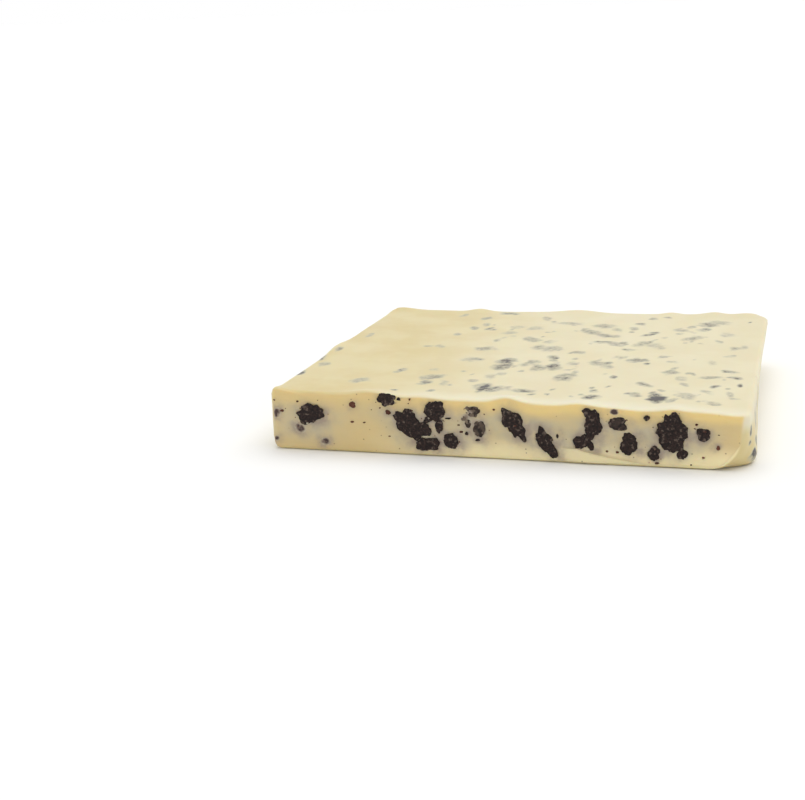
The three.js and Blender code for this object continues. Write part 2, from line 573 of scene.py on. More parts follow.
def make_piece(
    name: str,
    points: np.ndarray,
    faces: Sequence[Sequence[int]],
    material: bpy.types.Material,
    values: dict[str, np.ndarray],
) -> bpy.types.Object:
    """Makes one smooth-shaded piece that rides on the slab's body.

    Args:
        name: The piece's name.
        points: Its vertices in the shared frame, in millimetres.
        faces: Its faces, as vertex numbers.
        material: Its finish.
        values: Numbers for each vertex that the finish reads, by name.

    Returns:
        The piece, in the scene.
    """
    mesh = bpy.data.meshes.new(name)
    mesh.from_pydata((points * MM).tolist(), [], [tuple(f) for f in faces])
    mesh.shade_smooth()
    for label, numbers in values.items():
        layer = mesh.attributes.new(label, "FLOAT", "POINT")
        layer.data.foreach_set("value", numbers.astype(np.float32))
    mesh.materials.append(material)
    piece = bpy.data.objects.new(name, mesh)
    bpy.context.scene.collection.objects.link(piece)
    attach(piece, BODY)
    return piece


@dataclass(frozen=True)
class Bit:
    """A wafer bit in the cut face.

    Attributes:
        x: Its middle's place from the left end.
        z: Its middle's height.
        wide: Its width.
        high: Its height before it leans.
        lean: How far its top leans to the left, in degrees.
        bare: How much of it is free of chocolate, from 0 to 1.
        warm: How far it is red-brown and not black-brown, from 0 to 1.
    """

    x: float
    z: float
    wide: float
    high: float
    lean: float = 0.0
    bare: float = 1.0
    warm: float = 0.0

    @property
    def size(self) -> float:
        """Its smaller measure."""
        return min(self.wide, self.high)

    def reach(self, x: np.ndarray, z: np.ndarray) -> np.ndarray:
        """How far places on the face lie from the bit's middle.

        Args:
            x: Places along the face.
            z: Places up it.

        Returns:
            The distance as a share of the bit's reach that way, so 1 is its outline.
        """
        turn = math.radians(self.lean)
        dx, dz = x - self.x, z - self.z
        across = dx * math.cos(turn) + dz * math.sin(turn)
        up = dz * math.cos(turn) - dx * math.sin(turn)
        return np.hypot(across / (self.wide / 2), up / (self.high / 2))

    def gap(self, x: np.ndarray, z: np.ndarray) -> np.ndarray:
        """Roughly how far places on the face lie outside the bit, in millimetres."""
        return np.maximum(self.reach(x, z) - 1, 0) * self.size / 2


BITS = (
    Bit(1.4, 8.1, 1.9, 2.4, lean=-20, bare=0),
    Bit(1.1, 2.4, 1.4, 1.2, bare=0),
    Bit(9.4, 8.3, 5.9, 4, lean=-5),
    Bit(6.6, 5, 2.8, 2.2, lean=-30, bare=0.1),
    Bit(12.1, 2.2, 2.4, 1.8, bare=0.2),
    Bit(18.7, 10.6, 1.6, 1.5, warm=0.7),
    Bit(26, 11.9, 3.2, 3.1),
    Bit(27.4, 12.5, 1.8, 1.2),
    Bit(26.6, 9.3, 1.2, 1, warm=0.5),
    Bit(31.1, 6.7, 5, 6.8, lean=25),
    Bit(34.3, 5.9, 3.2, 2.8, bare=0.9),
    Bit(36.9, 9.9, 4.6, 4.3),
    Bit(37.6, 6.7, 1.6, 2.8),
    Bit(35.1, 2.7, 4.7, 2.9),
    Bit(40.1, 3.5, 3.1, 3.5, lean=30),
    Bit(44.7, 10.3, 3.1, 2.4, bare=0.5),
    Bit(43.6, 7.6, 1.6, 1.9, bare=0.4),
    Bit(46.3, 6.3, 2.6, 3.6, lean=20, bare=0.65),
    Bit(53.7, 7.9, 3.6, 7, lean=28),
    Bit(60.3, 4, 2.8, 6.6, lean=32),
    Bit(70, 8.5, 3.5, 5.5),
    Bit(68.8, 11, 2, 1.9),
    Bit(67.6, 4.8, 3.4, 3.6, lean=-25),
    Bit(74, 11.3, 1.8, 1.4, bare=0, warm=1),
    Bit(74.9, 9.1, 3.8, 2.5, lean=-10, bare=0.8),
    Bit(77.2, 5, 3.8, 4.3, lean=10),
    Bit(80.7, 10.4, 1.3, 1.2),
    Bit(82.1, 3, 2.5, 2.7),
    Bit(85.8, 7.5, 5.9, 7.2, lean=20),
    Bit(87.8, 3.1, 2.2, 2, lean=45),
    Bit(91.9, 7.3, 2.7, 2.6),
    Bit(95, 4.8, 1.1, 1, warm=0.9),
    Bit(8, 6.6, 2.4, 1.8, lean=-20, bare=0.7),
    Bit(35.2, 8.1, 1.9, 1.3, lean=30, bare=0.85),
    Bit(43.2, 9.1, 1.8, 1.5, lean=20, bare=0.5),
    Bit(69.4, 4, 1.5, 2.2, lean=10),
    Bit(52.6, 9.1, 3.3, 3.5, lean=20),
    Bit(59.7, 5, 3.4, 3.5, lean=20),
    Bit(43.5, 5.4, 0.7, 0.7),
    Bit(45.9, 4.1, 1, 0.5),
    Bit(39.6, 8.5, 1.3, 0.4),
    Bit(62.6, 5.8, 0.5, 0.9),
    Bit(90.6, 9.4, 0.6, 0.5, warm=0.4),
    Bit(28.9, 12.4, 0.8, 0.6),
    Bit(31.4, 12.3, 0.5, 0.4, warm=0.5),
)


class Side(Enum):
    """The faces where wafer shows through a film of chocolate."""

    TOP = "top"
    UNDER = "under"
    LEFT = "left"
    RIGHT = "right"
    BACK = "back"


@dataclass(frozen=True)
class Spot:
    """Wafer that shows through the film.

    Attributes:
        side: The face that it lies behind.
        a: Its place along that face: X on the top, underside and back wall, and Y on the others.
        b: Its place across that face: Y on the top and underside, and Z on the walls.
        along: Its length along the face.
        across: Its width across the face.
        dark: How near the surface it lies, from 0 to 1.
        turn: How far it is turned within the face, in degrees.
    """

    side: Side
    a: float
    b: float
    along: float
    across: float
    dark: float
    turn: float = 0.0


TOP_ROWS = (
    (1.3, 16, 1.8, 5, 0.9),
    (1, 30.5, 2.4, 7, 0.75),
    (2.2, 38.5, 2.6, 5, 0.65),
    (3.6, 24.5, 3.6, 5, 0.45),
    (4.2, 56, 2, 6, 0.45),
    (22, 82.5, 3, 5, 0.4),
    (34, 86.5, 6.5, 4, 0.6),
    (28.5, 68, 2.5, 5, 0.6, 20),
    (26, 60.5, 2.5, 4, 0.55),
    (30.5, 72.5, 2.5, 4, 0.5),
    (38.5, 63.5, 6, 5, 0.45),
    (22.5, 46, 3, 2.5, 0.5),
    (50.5, 56, 4, 6, 0.4),
    (51, 77, 10, 5, 0.45),
    (61, 74.5, 7.5, 6, 0.5),
    (63.5, 56.5, 7, 4.5, 0.6),
    (70, 50, 4, 3.5, 0.6),
    (72, 85, 3, 4, 0.5),
    (75.5, 87, 3, 3, 0.55),
    (74, 69, 3, 4, 0.7),
    (86.5, 80, 7, 6, 0.6, -15),
    (94.5, 55.5, 3, 3.5, 0.5),
    (93.5, 47, 4, 3.5, 0.45),
    (73, 40.5, 5, 6, 0.6, 30),
    (37.5, 35.5, 5, 3.5, 0.6),
    (44.5, 34, 5, 6, 0.8),
    (45.5, 23, 3.5, 3.5, 0.55),
    (56, 32, 3.5, 6, 0.8),
    (61.5, 23.5, 5, 4, 0.6, -20),
    (70.5, 24, 2, 3.5, 0.85),
    (82, 39.5, 4, 3.5, 0.55),
    (82.5, 30, 5.5, 4, 0.65, 15),
    (95, 33, 5.5, 3, 0.65, -25),
    (91.5, 27, 7.5, 3, 0.6, 10),
    (97.6, 21, 2, 3.5, 0.8),
    (45, 10, 2.4, 9, 1.0),
    (53, 9, 7, 3.5, 0.65),
    (41, 16, 2.5, 3, 0.6),
    (68, 7, 4, 4.5, 0.8),
    (77, 10, 3, 4.5, 0.7),
    (81.5, 8, 4.6, 9, 1.0),
    (97, 11, 4, 3, 0.6),
    (93.5, 6, 3, 2.5, 0.5),
)
TOP_SPOTS = tuple(Spot(Side.TOP, *row) for row in TOP_ROWS)
WALL_SPOTS = (
    Spot(Side.RIGHT, 31, 8, 4, 7, 0.9),
    Spot(Side.RIGHT, 13, 8, 14, 7, 0.4),
    Spot(Side.RIGHT, 2.6, 8, 2, 2.6, 0.95),
    Spot(Side.RIGHT, 2.2, 5.6, 1.6, 1.4, 0.75),
    Spot(Side.RIGHT, 8.5, 4.8, 6, 2.4, 0.95),
    Spot(Side.RIGHT, 5, 2.4, 3, 2.6, 0.95),
)


@dataclass(frozen=True)
class Scatter:
    """Seeded small spots of one face.

    Attributes:
        side: The face.
        count: How many there are.
        largest: The length of the largest.
        seed: The seed of the draws.
        from_left: Where along X they begin to lie close.
    """

    side: Side
    count: int
    largest: float
    seed: int
    from_left: float = 0.0


SCATTERS = (
    Scatter(Side.TOP, 210, 8.0, 21, from_left=55),
    Scatter(Side.UNDER, 130, 6.5, 22),
    Scatter(Side.LEFT, 16, 5.5, 23),
    Scatter(Side.RIGHT, 18, 5.0, 24),
    Scatter(Side.BACK, 22, 5.5, 25),
)
SMALLEST_SPOT = 2.0


@dataclass
class Film:
    """The wafer that shows through the chocolate's thin film, on every face but the cut one.

    Attributes:
        form: The slab.
        behind: How far behind its face a spot reaches.
        ragged: How far the noise shifts the spots' outlines.
        ragged_size: The noise's lump size.
        ragged_whole: The length of spot from which it shifts them that far.
        apart: How far apart the three axes' noises are read.
        fade: Between which shares of its reach a spot fades out.
        along_ends: Between which shares of its face's length a seeded spot lies.
        across_ends: Between which shares of its face's width it lies.
        darkness: The range of how dark it is.
        most_turn: How far it is turned either way, at most, in degrees.
        slimness: The range of its length as a share of its width.
    """

    form: SlabForm
    behind: float = 2.4
    ragged: float = 0.9
    ragged_size: float = 2.2
    ragged_whole: float = 4.0
    apart: float = 17.0
    fade: Pair = (0.3, 1.3)
    along_ends: Pair = (0.03, 0.97)
    across_ends: Pair = (0.06, 0.94)
    darkness: Pair = (0.3, 0.7)
    most_turn: float = 50.0
    slimness: Pair = (0.4, 0.8)

    def drawn(self, scatter: Scatter) -> list[Spot]:
        """The seeded spots of one face.

        Short of the place where they begin to lie close, the chance that one is kept is the square
        of its share of the way there.

        Args:
            scatter: How they are scattered.

        Returns:
            The spots.
        """
        draw = np.random.default_rng(scatter.seed).uniform
        wide = self.form.depth if scatter.side in (Side.LEFT, Side.RIGHT) else self.form.length
        flat = scatter.side in (Side.TOP, Side.UNDER)
        high = self.form.depth if flat else self.form.thickness_right
        spots = []
        for _ in range(scatter.count):
            a, b = draw(*self.along_ends) * wide, draw(*self.across_ends) * high
            size = SMALLEST_SPOT + (scatter.largest - SMALLEST_SPOT) * draw() ** 2
            dark, turn = draw(*self.darkness), draw(-self.most_turn, self.most_turn)
            slim = draw(*self.slimness)
            if math.sqrt(draw()) * scatter.from_left <= a:
                spots.append(Spot(scatter.side, a, b, size * slim, size, dark, turn))
        return spots

    def frame_of(self, side: Side, a: float, b: float) -> tuple[np.ndarray, np.ndarray]:
        """Where a spot lies and how its face runs.

        Args:
            side: The face.
            a: The spot's place along it.
            b: The spot's place across it.

        Returns:
            The spot's middle, and the directions along the face, across it and out of it.
        """
        form = self.form
        x, y, z = np.eye(3)
        if side is Side.TOP:
            return np.array([a, b, form.thickness_left]), np.array([x, y, z])
        if side is Side.UNDER:
            return np.array([a, b, 0]), np.array([x, y, z])
        if side is Side.BACK:
            return np.array([a, form.depth, b]), np.array([x, z, y])
        return np.array([form.length * (side is Side.RIGHT), a, b]), np.array([y, z, x])

    def mound(self, spot: Spot, points: np.ndarray, shifts: np.ndarray) -> np.ndarray:
        """How strongly one spot shows at each point.

        The spot is a flat ball behind its face. It shows fully near its middle, and then fades by a
        smooth step out to its edge.

        Args:
            spot: The spot.
            points: The points.
            shifts: How far the noise shifts each of them, which is less for a small spot.

        Returns:
            A number from 0 to 1 for each point.
        """
        middle, axes = self.frame_of(spot.side, spot.a, spot.b)
        turn = math.radians(spot.turn)
        turned = np.array([
            axes[0] * math.cos(turn) + axes[1] * math.sin(turn),
            axes[1] * math.cos(turn) - axes[0] * math.sin(turn),
            axes[2],
        ])
        halves = np.array([spot.along / 2, spot.across / 2, self.behind])
        moved = points + shifts * min(spot.along / self.ragged_whole, 1)
        reach = np.linalg.norm((moved - middle) @ turned.T / halves, axis=1)
        return spot.dark * (1 - ease(*self.fade, reach))

    def shown(self, points: np.ndarray) -> np.ndarray:
        """The strongest spot at each point, with ragged outlines.

        Layered noise shifts the points along each axis.

        Args:
            points: The points, one row each.

        Returns:
            A number from 0 to 1 for each point.
        """
        grit = self.form.grit
        places = (points + self.apart * k for k in range(3))
        noise = [grit.layered(p, self.ragged_size, layers=2) for p in places]
        shifts = self.ragged * np.stack(noise, axis=1)
        drawn = (s for scatter in SCATTERS for s in self.drawn(scatter))
        spots = (*TOP_SPOTS, *WALL_SPOTS, *drawn)
        return np.maximum.reduce([self.mound(s, points, shifts) for s in spots])


@dataclass(frozen=True)
class Dust:
    """The wafer's dust in the cut face, and the bits that show through chocolate there.

    Attributes:
        ring: How far the grey ring round a bit reaches, at least.
        ring_share: How much further it does for the bit's size.
        cloud_share: How strongly a bit clouds the chocolate round it, for its size.
        cloud_reach: How far its cloud reaches.
        foot_share: How much of the clouds is left at the foot.
        foot_ends: Between which heights they grow to the whole.
        cover_ends: Between which shares of its reach a covered bit fades out.
    """

    ring: float = 0.5
    ring_share: float = 0.2
    cloud_share: float = 0.14
    cloud_reach: float = 3.0
    foot_share: float = 0.3
    foot_ends: Pair = (0.5, 4.0)
    cover_ends: Pair = (0.4, 1.2)

    def halo(self, x: np.ndarray, z: np.ndarray) -> np.ndarray:
        """How grey the rings round the bits are, from 0 to 1: the highest of bells of the gaps."""
        rings = [bell(b.gap(x, z), self.ring + self.ring_share * b.size) for b in BITS]
        return np.maximum.reduce(rings)

    def haze(self, x: np.ndarray, z: np.ndarray) -> np.ndarray:
        """How dusty the chocolate is between bits that lie close.

        The sum of wide bells of the gaps to the bits, each weighted by the bit's size, less near
        the foot.

        Args:
            x: Places along the face.
            z: Places up it.

        Returns:
            A number from 0 to 1 for each place.
        """
        clouds = (self.cloud_share * b.size * bell(b.gap(x, z), self.cloud_reach) for b in BITS)
        grown = self.foot_share + (1 - self.foot_share) * ease(*self.foot_ends, z)
        return np.minimum(sum(clouds), 1) * grown

    def veiled(self, x: np.ndarray, z: np.ndarray) -> np.ndarray:
        """How strongly the bits that chocolate covers show through it, from 0 to 1."""
        shown = [(1 - b.bare) * (1 - ease(*self.cover_ends, b.reach(x, z))) for b in BITS]
        return np.maximum.reduce(shown)


@dataclass
class Slab:
    """The chocolate itself.

    Attributes:
        form: Its shape.
        columns: Facets along X.
        rows: Facets along Y.
        layers: Facets along Z.
        crowding: How much closer the facets lie at the walls, along X and along Y.
        level_foot: Up to what height the finer relief grows from none.
        painted_highlight_band: How far the painted highlight runs back from the front rim.
        painted_highlight_band_ends: Between which places along X it sets in.
        painted_light_right: At most how far the right end is painted lighter than the shaded left.
        painted_light_right_ends: Between which places along X that sets in.
        top_ends: Between which shares of the height the top's painted light sets in.
        cut_end: How far short of the right wall the cut face ends.
        cut_soft: Half the width of its edge there.
        cut_facing: How squarely a point of it faces the front, from none of it to the whole.
        cut_reach: How far back a point of it lies, from none of it to the whole.
        dust: The dust in it.
        rim_ends: Between which shares of the height the dust ends under the rim.
        rim_dust: How much of the rings is left there.
        cream_ends: Between which places along X the cut face's pale foot sets in.
    """

    form: SlabForm
    columns: int = 240
    rows: int = 130
    layers: int = 40
    crowding: Pair = (0.3, 0.82)
    level_foot: float = 0.6
    painted_highlight_band: float = 7.0
    painted_highlight_band_ends: Pair = (10.0, 50.0)
    painted_light_right: float = 0.6
    painted_light_right_ends: Pair = (15.0, 55.0)
    top_ends: Pair = (0.7, 0.95)
    cut_end: float = 1.3
    cut_soft: float = 0.4
    cut_facing: Pair = (0.55, 0.95)
    cut_reach: Pair = (2.5, 1.0)
    dust: Dust = Dust()
    rim_ends: Pair = (0.7, 0.92)
    rim_dust: float = 0.4
    cream_ends: Pair = (18.0, 45.0)

    def surface(self) -> tuple[np.ndarray, np.ndarray, np.ndarray, np.ndarray]:
        """The slab's surface.

        Each point of a unit box keeps its share of the way from the foot to the top at its place in
        the plan. The front wall then takes the knife's path, the corners are rounded and pulled,
        the walls lean, and the finer relief is added along the normals.

        Returns:
            The places on the square plan, the points before the relief, the finished points, and
            the quads.
        """
        unit, quads = box_lattice(self.columns, self.rows, self.layers)
        crowd_x, crowd_y = self.crowding
        form = self.form
        x = (unit[:, 0] - crowd_x * wave(unit[:, 0], 1) / (2 * np.pi)) * form.length
        y = (unit[:, 1] - crowd_y * wave(unit[:, 1], 1) / (2 * np.pi)) * form.depth
        foot = form.edge_fall(x, y, form.foot)
        z = foot + (form.top(x, y) - foot) * unit[:, 2]
        square = np.stack([x, y, z], axis=1)
        cut = form.cut(x, z)
        x, y = form.round_corners(x, y)
        x = form.pulled(x, y, z)
        plain = form.lean(x, y + cut * bell(y, form.swell_reach), z)
        normals = vertex_normals(plain, quads)
        cutness = self.cutness(square, plain, normals)
        cut_relief = cutness * form.cut_relief(plain * (1, 0, 1))
        relief = cut_relief + (1 - cutness) * form.poured_relief(plain)
        standing = ease(0.0, self.level_foot, z)
        return square, plain, plain + normals * (relief * standing)[:, None], quads

    def cutness(self, square: np.ndarray, plain: np.ndarray, normals: np.ndarray) -> np.ndarray:
        """How far each point belongs to the cut face, from 0 to 1.

        Args:
            square: The places on the square plan.
            plain: The points before the relief.
            normals: Their normals.

        Returns:
            The product of smooth steps of how it faces, how far back it lies and its place along X.
        """
        left_over = self.form.length - self.cut_end - square[:, 0]
        ends = ease(-self.cut_soft, self.cut_soft, left_over)
        facing = ease(*self.cut_facing, -normals[:, 1])
        return facing * ease(*self.cut_reach, plain[:, 1]) * ends

    def painted_light(self, x: np.ndarray, y: np.ndarray, rise: np.ndarray) -> np.ndarray:
        """The top's painted light: a highlight behind the front rim, milder lightening at the right
        end.

        Args:
            x: Places along the cut face.
            y: Places towards the back.
            rise: How high they lie, as shares of the height there.

        Returns:
            A number from 0 to 1 for each place.
        """
        band = bell(y, self.painted_highlight_band) * ease(*self.painted_highlight_band_ends, x)
        right = self.painted_light_right * ease(*self.painted_light_right_ends, x)
        return np.maximum(band, right) * ease(*self.top_ends, rise)

    def values(
        self, square: np.ndarray, plain: np.ndarray, quads: np.ndarray
    ) -> dict[str, np.ndarray]:
        """What the finish reads at each point.

        Args:
            square: The places on the square plan.
            plain: The points before the relief.
            quads: The quads.

        Returns:
            The numbers for each point, by name.
        """
        form, dust = self.form, self.dust
        x, y, z = square.T
        rise = z / form.top(x, y)
        cutness = self.cutness(square, plain, vertex_normals(plain, quads))
        film = Film(form).shown(np.stack([x, plain[:, 1], z], axis=1))
        under_rim = 1 - ease(*self.rim_ends, rise)
        rings = self.rim_dust + (1 - self.rim_dust) * under_rim
        return {
            "cut": cutness,
            "halo": cutness * dust.halo(x, z) * rings,
            "haze": cutness * dust.haze(x, z) * under_rim,
            "cream": ease(*self.cream_ends, x),
            "spot": np.maximum(cutness * dust.veiled(x, z), (1 - cutness) * film),
            "lip": cutness * form.lip_share(x),
            "lip_relief": cutness * form.lip_relief(x),
            "lip_gap": form.lip_gap(x, z),
            "rise": rise,
            # pale is painted light: a painted highlight behind the front rim and a lighter right
            # end of the top.
            "pale": self.painted_light(x, y, rise),
        }

    def build(self, finish: "ChocolateFinish") -> tuple[bpy.types.Object, np.ndarray]:
        """Makes the slab and sets it in the solid's place.

        Args:
            finish: The chocolate's finish.

        Returns:
            The piece, and where the slab's front left foot lies in the shared frame.
        """
        square, plain, points, quads = self.surface()
        high = np.array(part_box("bar")[1]) / MM
        shift = np.array([*(high[:2] - plain.max(axis=0)[:2]), 0.0])
        values = self.values(square, plain, quads)
        piece = make_piece("slab", points + shift, quads.tolist(), finish.material(), values)
        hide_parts("bar")
        return piece, shift


@dataclass(frozen=True)
class Globe:
    """Directions on a ball, ring by ring from the pole at -Y to the pole at +Y.

    Attributes:
        rings: Steps from pole to pole.
        sides: Steps round.
    """

    rings: int
    sides: int

    def directions(self) -> np.ndarray:
        """The unit directions: products of the sine and cosine of two angles.

        Returns:
            The directions, one row each, with one at each pole.
        """
        down = np.pi * np.arange(1, self.rings) / self.rings
        about = 2 * np.pi * np.arange(self.sides) / self.sides
        a, b = (g.ravel() for g in np.meshgrid(down, about, indexing="ij"))
        ring = np.stack([np.sin(a) * np.cos(b), -np.cos(a), np.sin(a) * np.sin(b)], axis=1)
        return np.concatenate([[[0, -1, 0]], ring, [[0, 1, 0]]])

    def faces(self) -> list[tuple[int, ...]]:
        """The faces that join the directions, facing out.

        Returns:
            Quads between the rings, then triangles at the poles.
        """
        ids = 1 + np.arange((self.rings - 1) * self.sides).reshape(self.rings - 1, self.sides)
        after = np.roll(ids, -1, axis=1)
        quads = np.stack([ids[:-1], ids[1:], after[1:], after[:-1]], axis=-1).reshape(-1, 4)
        last = 1 + ids.size
        near = [(0, int(i), int(j)) for i, j in zip(ids[0], after[0])]
        far = [(last, int(j), int(i)) for i, j in zip(ids[-1], after[-1])]
        return [*map(tuple, quads.tolist()), *near, *far]


@dataclass
class Crag:
    """Broken lumps of wafer: clumps of balls, cut by random planes and roughened.

    Attributes:
        seed: The seed of the draws.
        lobes: How many balls make a lump.
        spread: How far the balls' middles stray, as a share of the lump.
        planes: How many planes cut it.
        nearest_plane: How near its middle a plane comes, at most.
        radii: The range of the balls' radii, as shares of the lump.
        weights: How far the planes face along X, Y and Z.
        least_cosine: The least cosine that still counts as facing a plane.
        noise_size: The roughness's lump size.
        roam: How far apart the lumps' noises are read.
    """

    seed: int
    lobes: int = 6
    spread: float = 0.4
    planes: int = 8
    nearest_plane: float = 0.78
    radii: Pair = (0.48, 0.66)
    weights: Triple = (1, 0.5, 1)
    least_cosine: float = 1e-3
    noise_size: float = 1.0
    roam: float = 90.0

    def __post_init__(self) -> None:
        """Starts the draws and the noise."""
        self.draw = np.random.default_rng(self.seed)
        self.grit = Grit(self.seed + 1)

    def clump(self, directions: np.ndarray) -> np.ndarray:
        """How far the clump of balls reaches along each direction.

        A ray leaves a ball about c with radius r at d.c plus the root of (d.c) squared plus
        r squared less c squared. Every ball holds the lump's middle, and the furthest exit counts.

        Args:
            directions: Unit directions, one row each.

        Returns:
            The reach along each of them.
        """
        middles = self.draw.normal(size=(self.lobes, 3))
        middles *= self.spread / np.linalg.norm(middles, axis=1, keepdims=True)
        radii = self.draw.uniform(*self.radii, self.lobes)
        along = directions @ middles.T
        exits = along + np.sqrt(along**2 + radii**2 - self.spread**2)
        return exits.max(axis=1)

    def shape(self, directions: np.ndarray, halves: Iterable[float], rough: float) -> np.ndarray:
        """One lump about its own middle.

        Along each direction the surface lies where the clump ends, or at the nearest of the
        planes: the plane's distance over the cosine between them. The lump is stretched to its
        size, and layered noise then scales it.

        Args:
            directions: Unit directions, one row each.
            halves: Half the lump's size along X, Y and Z.
            rough: The noise's height, as a share of the lump.

        Returns:
            A point along each direction, in millimetres.
        """
        normals = self.draw.normal(size=(self.planes, 3)) * self.weights
        normals /= np.linalg.norm(normals, axis=1, keepdims=True)
        away = self.draw.uniform(self.nearest_plane, 1.0, self.planes)
        cosines = np.maximum(directions @ normals.T, self.least_cosine)
        planes = (away / cosines).min(axis=1)
        reach = np.minimum(planes, self.clump(directions))
        points = directions * reach[:, None]
        low, high = points.min(axis=0), points.max(axis=0)
        points = (points - (low + high) / 2) / ((high - low) / 2) * tuple(halves)
        offset = self.draw.uniform(0, self.roam, 3)
        noise = self.grit.layered(points + offset, self.noise_size)
        return points * (1 + rough * noise)[:, None]


class Lumps:
    """Lumps gathered into one mesh."""

    def __init__(self) -> None:
        """Starts empty."""
        self.points: list[np.ndarray] = []
        self.faces: list[tuple[int, ...]] = []
        self.warmth: list[np.ndarray] = []
        self.smears: list[np.ndarray] = []
        self.count = 0

    def add(
        self, points: np.ndarray, faces: list[tuple[int, ...]], warm: float, smear: float = 0
    ) -> None:
        """Adds one lump.

        Args:
            points: Its points.
            faces: Its faces, as numbers of its own points.
            warm: How far it is red-brown, from 0 to 1.
            smear: How far it is smeared with chocolate, from 0 to 1.
        """
        self.faces += [tuple(i + self.count for i in f) for f in faces]
        self.points.append(points)
        self.warmth.append(np.full(len(points), warm))
        self.smears.append(np.full(len(points), smear))
        self.count += len(points)

    def piece(self, name: str, shift: np.ndarray, material: bpy.types.Material) -> bpy.types.Object:
        """Makes the mesh as one piece in the shared frame."""
        values = {"warm": np.concatenate(self.warmth), "smear": np.concatenate(self.smears)}
        return make_piece(name, np.concatenate(self.points) + shift, self.faces, material, values)


def turned(points: np.ndarray, lean: float) -> np.ndarray:
    """Turns points about Y.

    Args:
        points: The points, one row each.
        lean: How far what points up then leans to the left, in degrees.

    Returns:
        The turned points.
    """
    turn = math.radians(lean)
    x, y, z = points.T
    return np.stack([
        x * math.cos(turn) - z * math.sin(turn), y, z * math.cos(turn) + x * math.sin(turn)
    ], axis=1)


@dataclass
class WaferBits:
    """The wafer bits that the knife laid open in the front face.

    Attributes:
        form: The slab that they lie in.
        large: The facets of a bit over large_size.
        small: The facets of a smaller one.
        large_size: Where the larger facets begin.
        proud: How far a bare bit stands out of the cut, at least.
        proud_share: How much more it does for its size.
        sunk: How much lower a fully covered bit lies.
        fullness: Half a crag's size as a share of its bit's, as its roughness takes some off.
        deep: Half its depth, as a share of the bit's smaller measure.
        rough: How rough its outline is, as a share of its size.
        crumb: The crumb of the laid-open surface.
        seed: The seed of the draws.
    """

    form: SlabForm
    large: Globe = Globe(44, 72)
    small: Globe = Globe(22, 36)
    large_size: float = 2.2
    proud: float = 0.1
    proud_share: float = 0.035
    sunk: float = 0.3
    fullness: float = 0.53
    deep: float = 0.5
    rough: float = 0.2
    crumb: Grain = Grain(0.13, 0.75, offset=17)
    seed: int = 31

    def build(self, shift: np.ndarray, finish: "WaferFinish") -> bpy.types.Object:
        """Makes all the bits as one piece.

        Each is a crag about its place in the face, planed off by the knife: no point stands further
        out than the face, less how proud the bit is, plus layered noise for its crumb. At the rim
        the top planes it off the same way. A bit that is nowhere bare is left out, and only shows
        through the chocolate.

        Args:
            shift: Where the slab's front left foot lies in the shared frame.
            finish: The wafer's finish.

        Returns:
            The piece.
        """
        crag, lumps = Crag(self.seed), Lumps()
        for bit in BITS:
            globe = self.large if bit.size > self.large_size else self.small
            halves = (bit.wide * self.fullness, bit.size * self.deep, bit.high * self.fullness)
            points = turned(crag.shape(globe.directions(), halves, self.rough), bit.lean)
            points += (bit.x, 0, bit.z)
            crumb = self.crumb.relief(crag.grit, points * (1, 0, 1))
            stands = self.proud + self.proud_share * bit.size - self.sunk * (1 - bit.bare)
            planed = self.form.front(points[:, 0], points[:, 2]) - stands + crumb
            points[:, 1] = np.maximum(points[:, 1], planed)
            rim = self.form.top(points[:, 0], np.clip(points[:, 1], 0, self.form.depth))
            points[:, 2] = np.minimum(points[:, 2], rim + stands + crumb)
            if bit.bare:
                lumps.add(points, globe.faces(), bit.warm, (1 - bit.bare) ** 2)
        return lumps.piece("wafer_bits", shift, finish.material())


@dataclass
class Flecks:
    """Fine wafer crumb in the cut face, thickest round the bits.

    Attributes:
        form: The slab that they lie in.
        count: How many there are.
        near_share: The share of them that lies near a bit.
        near: How far from a bit those stray.
        small: Half the size of the smallest.
        large: Half the size of the largest.
        longest: How much longer than wide one is, at most.
        rough: How rough it is, as a share of its size.
        warmth: The range of how far it is red-brown.
        margin: How far inside the face's edges it lies.
        right_margin: How far inside the right end.
        rim_margin: How far below the rim.
        globe: Its facets.
        seed: The seed of the draws.
    """

    form: SlabForm
    count: int = 70
    near_share: float = 0.75
    near: float = 2.0
    small: float = 0.08
    large: float = 0.3
    longest: float = 1.8
    rough: float = 0.1
    warmth: Pair = (0.3, 1.0)
    margin: float = 1.0
    right_margin: float = 6.0
    rim_margin: float = 0.8
    globe: Globe = Globe(6, 8)
    seed: int = 41

    def build(self, shift: np.ndarray, finish: "WaferFinish") -> bpy.types.Object:
        """Makes all the flecks as one piece: small crags sunk half into the face.

        Args:
            shift: Where the slab's front left foot lies in the shared frame.
            finish: The wafer's finish.

        Returns:
            The piece.
        """
        draw, crag, lumps = np.random.default_rng(self.seed), Crag(self.seed), Lumps()
        far = np.array([self.form.length, self.form.thickness_right])
        for _ in range(self.count):
            bit = BITS[draw.integers(len(BITS))]
            place = (bit.x, bit.z) + draw.normal(0, self.near, 2)
            if draw.uniform() > self.near_share:
                place = draw.uniform((self.margin, self.margin), far - self.margin)
            half = self.small + (self.large - self.small) * draw.uniform() ** 2
            x, z = np.clip(place, self.margin, far - (self.right_margin, self.rim_margin))
            halves = (half * draw.uniform(1, self.longest), half, half)
            points = crag.shape(self.globe.directions(), halves, self.rough)
            face = self.form.front(np.array([x]), np.array([z]))[0]
            lumps.add(points + (x, face, z), self.globe.faces(), draw.uniform(*self.warmth))
        return lumps.piece("flecks", shift, finish.material())


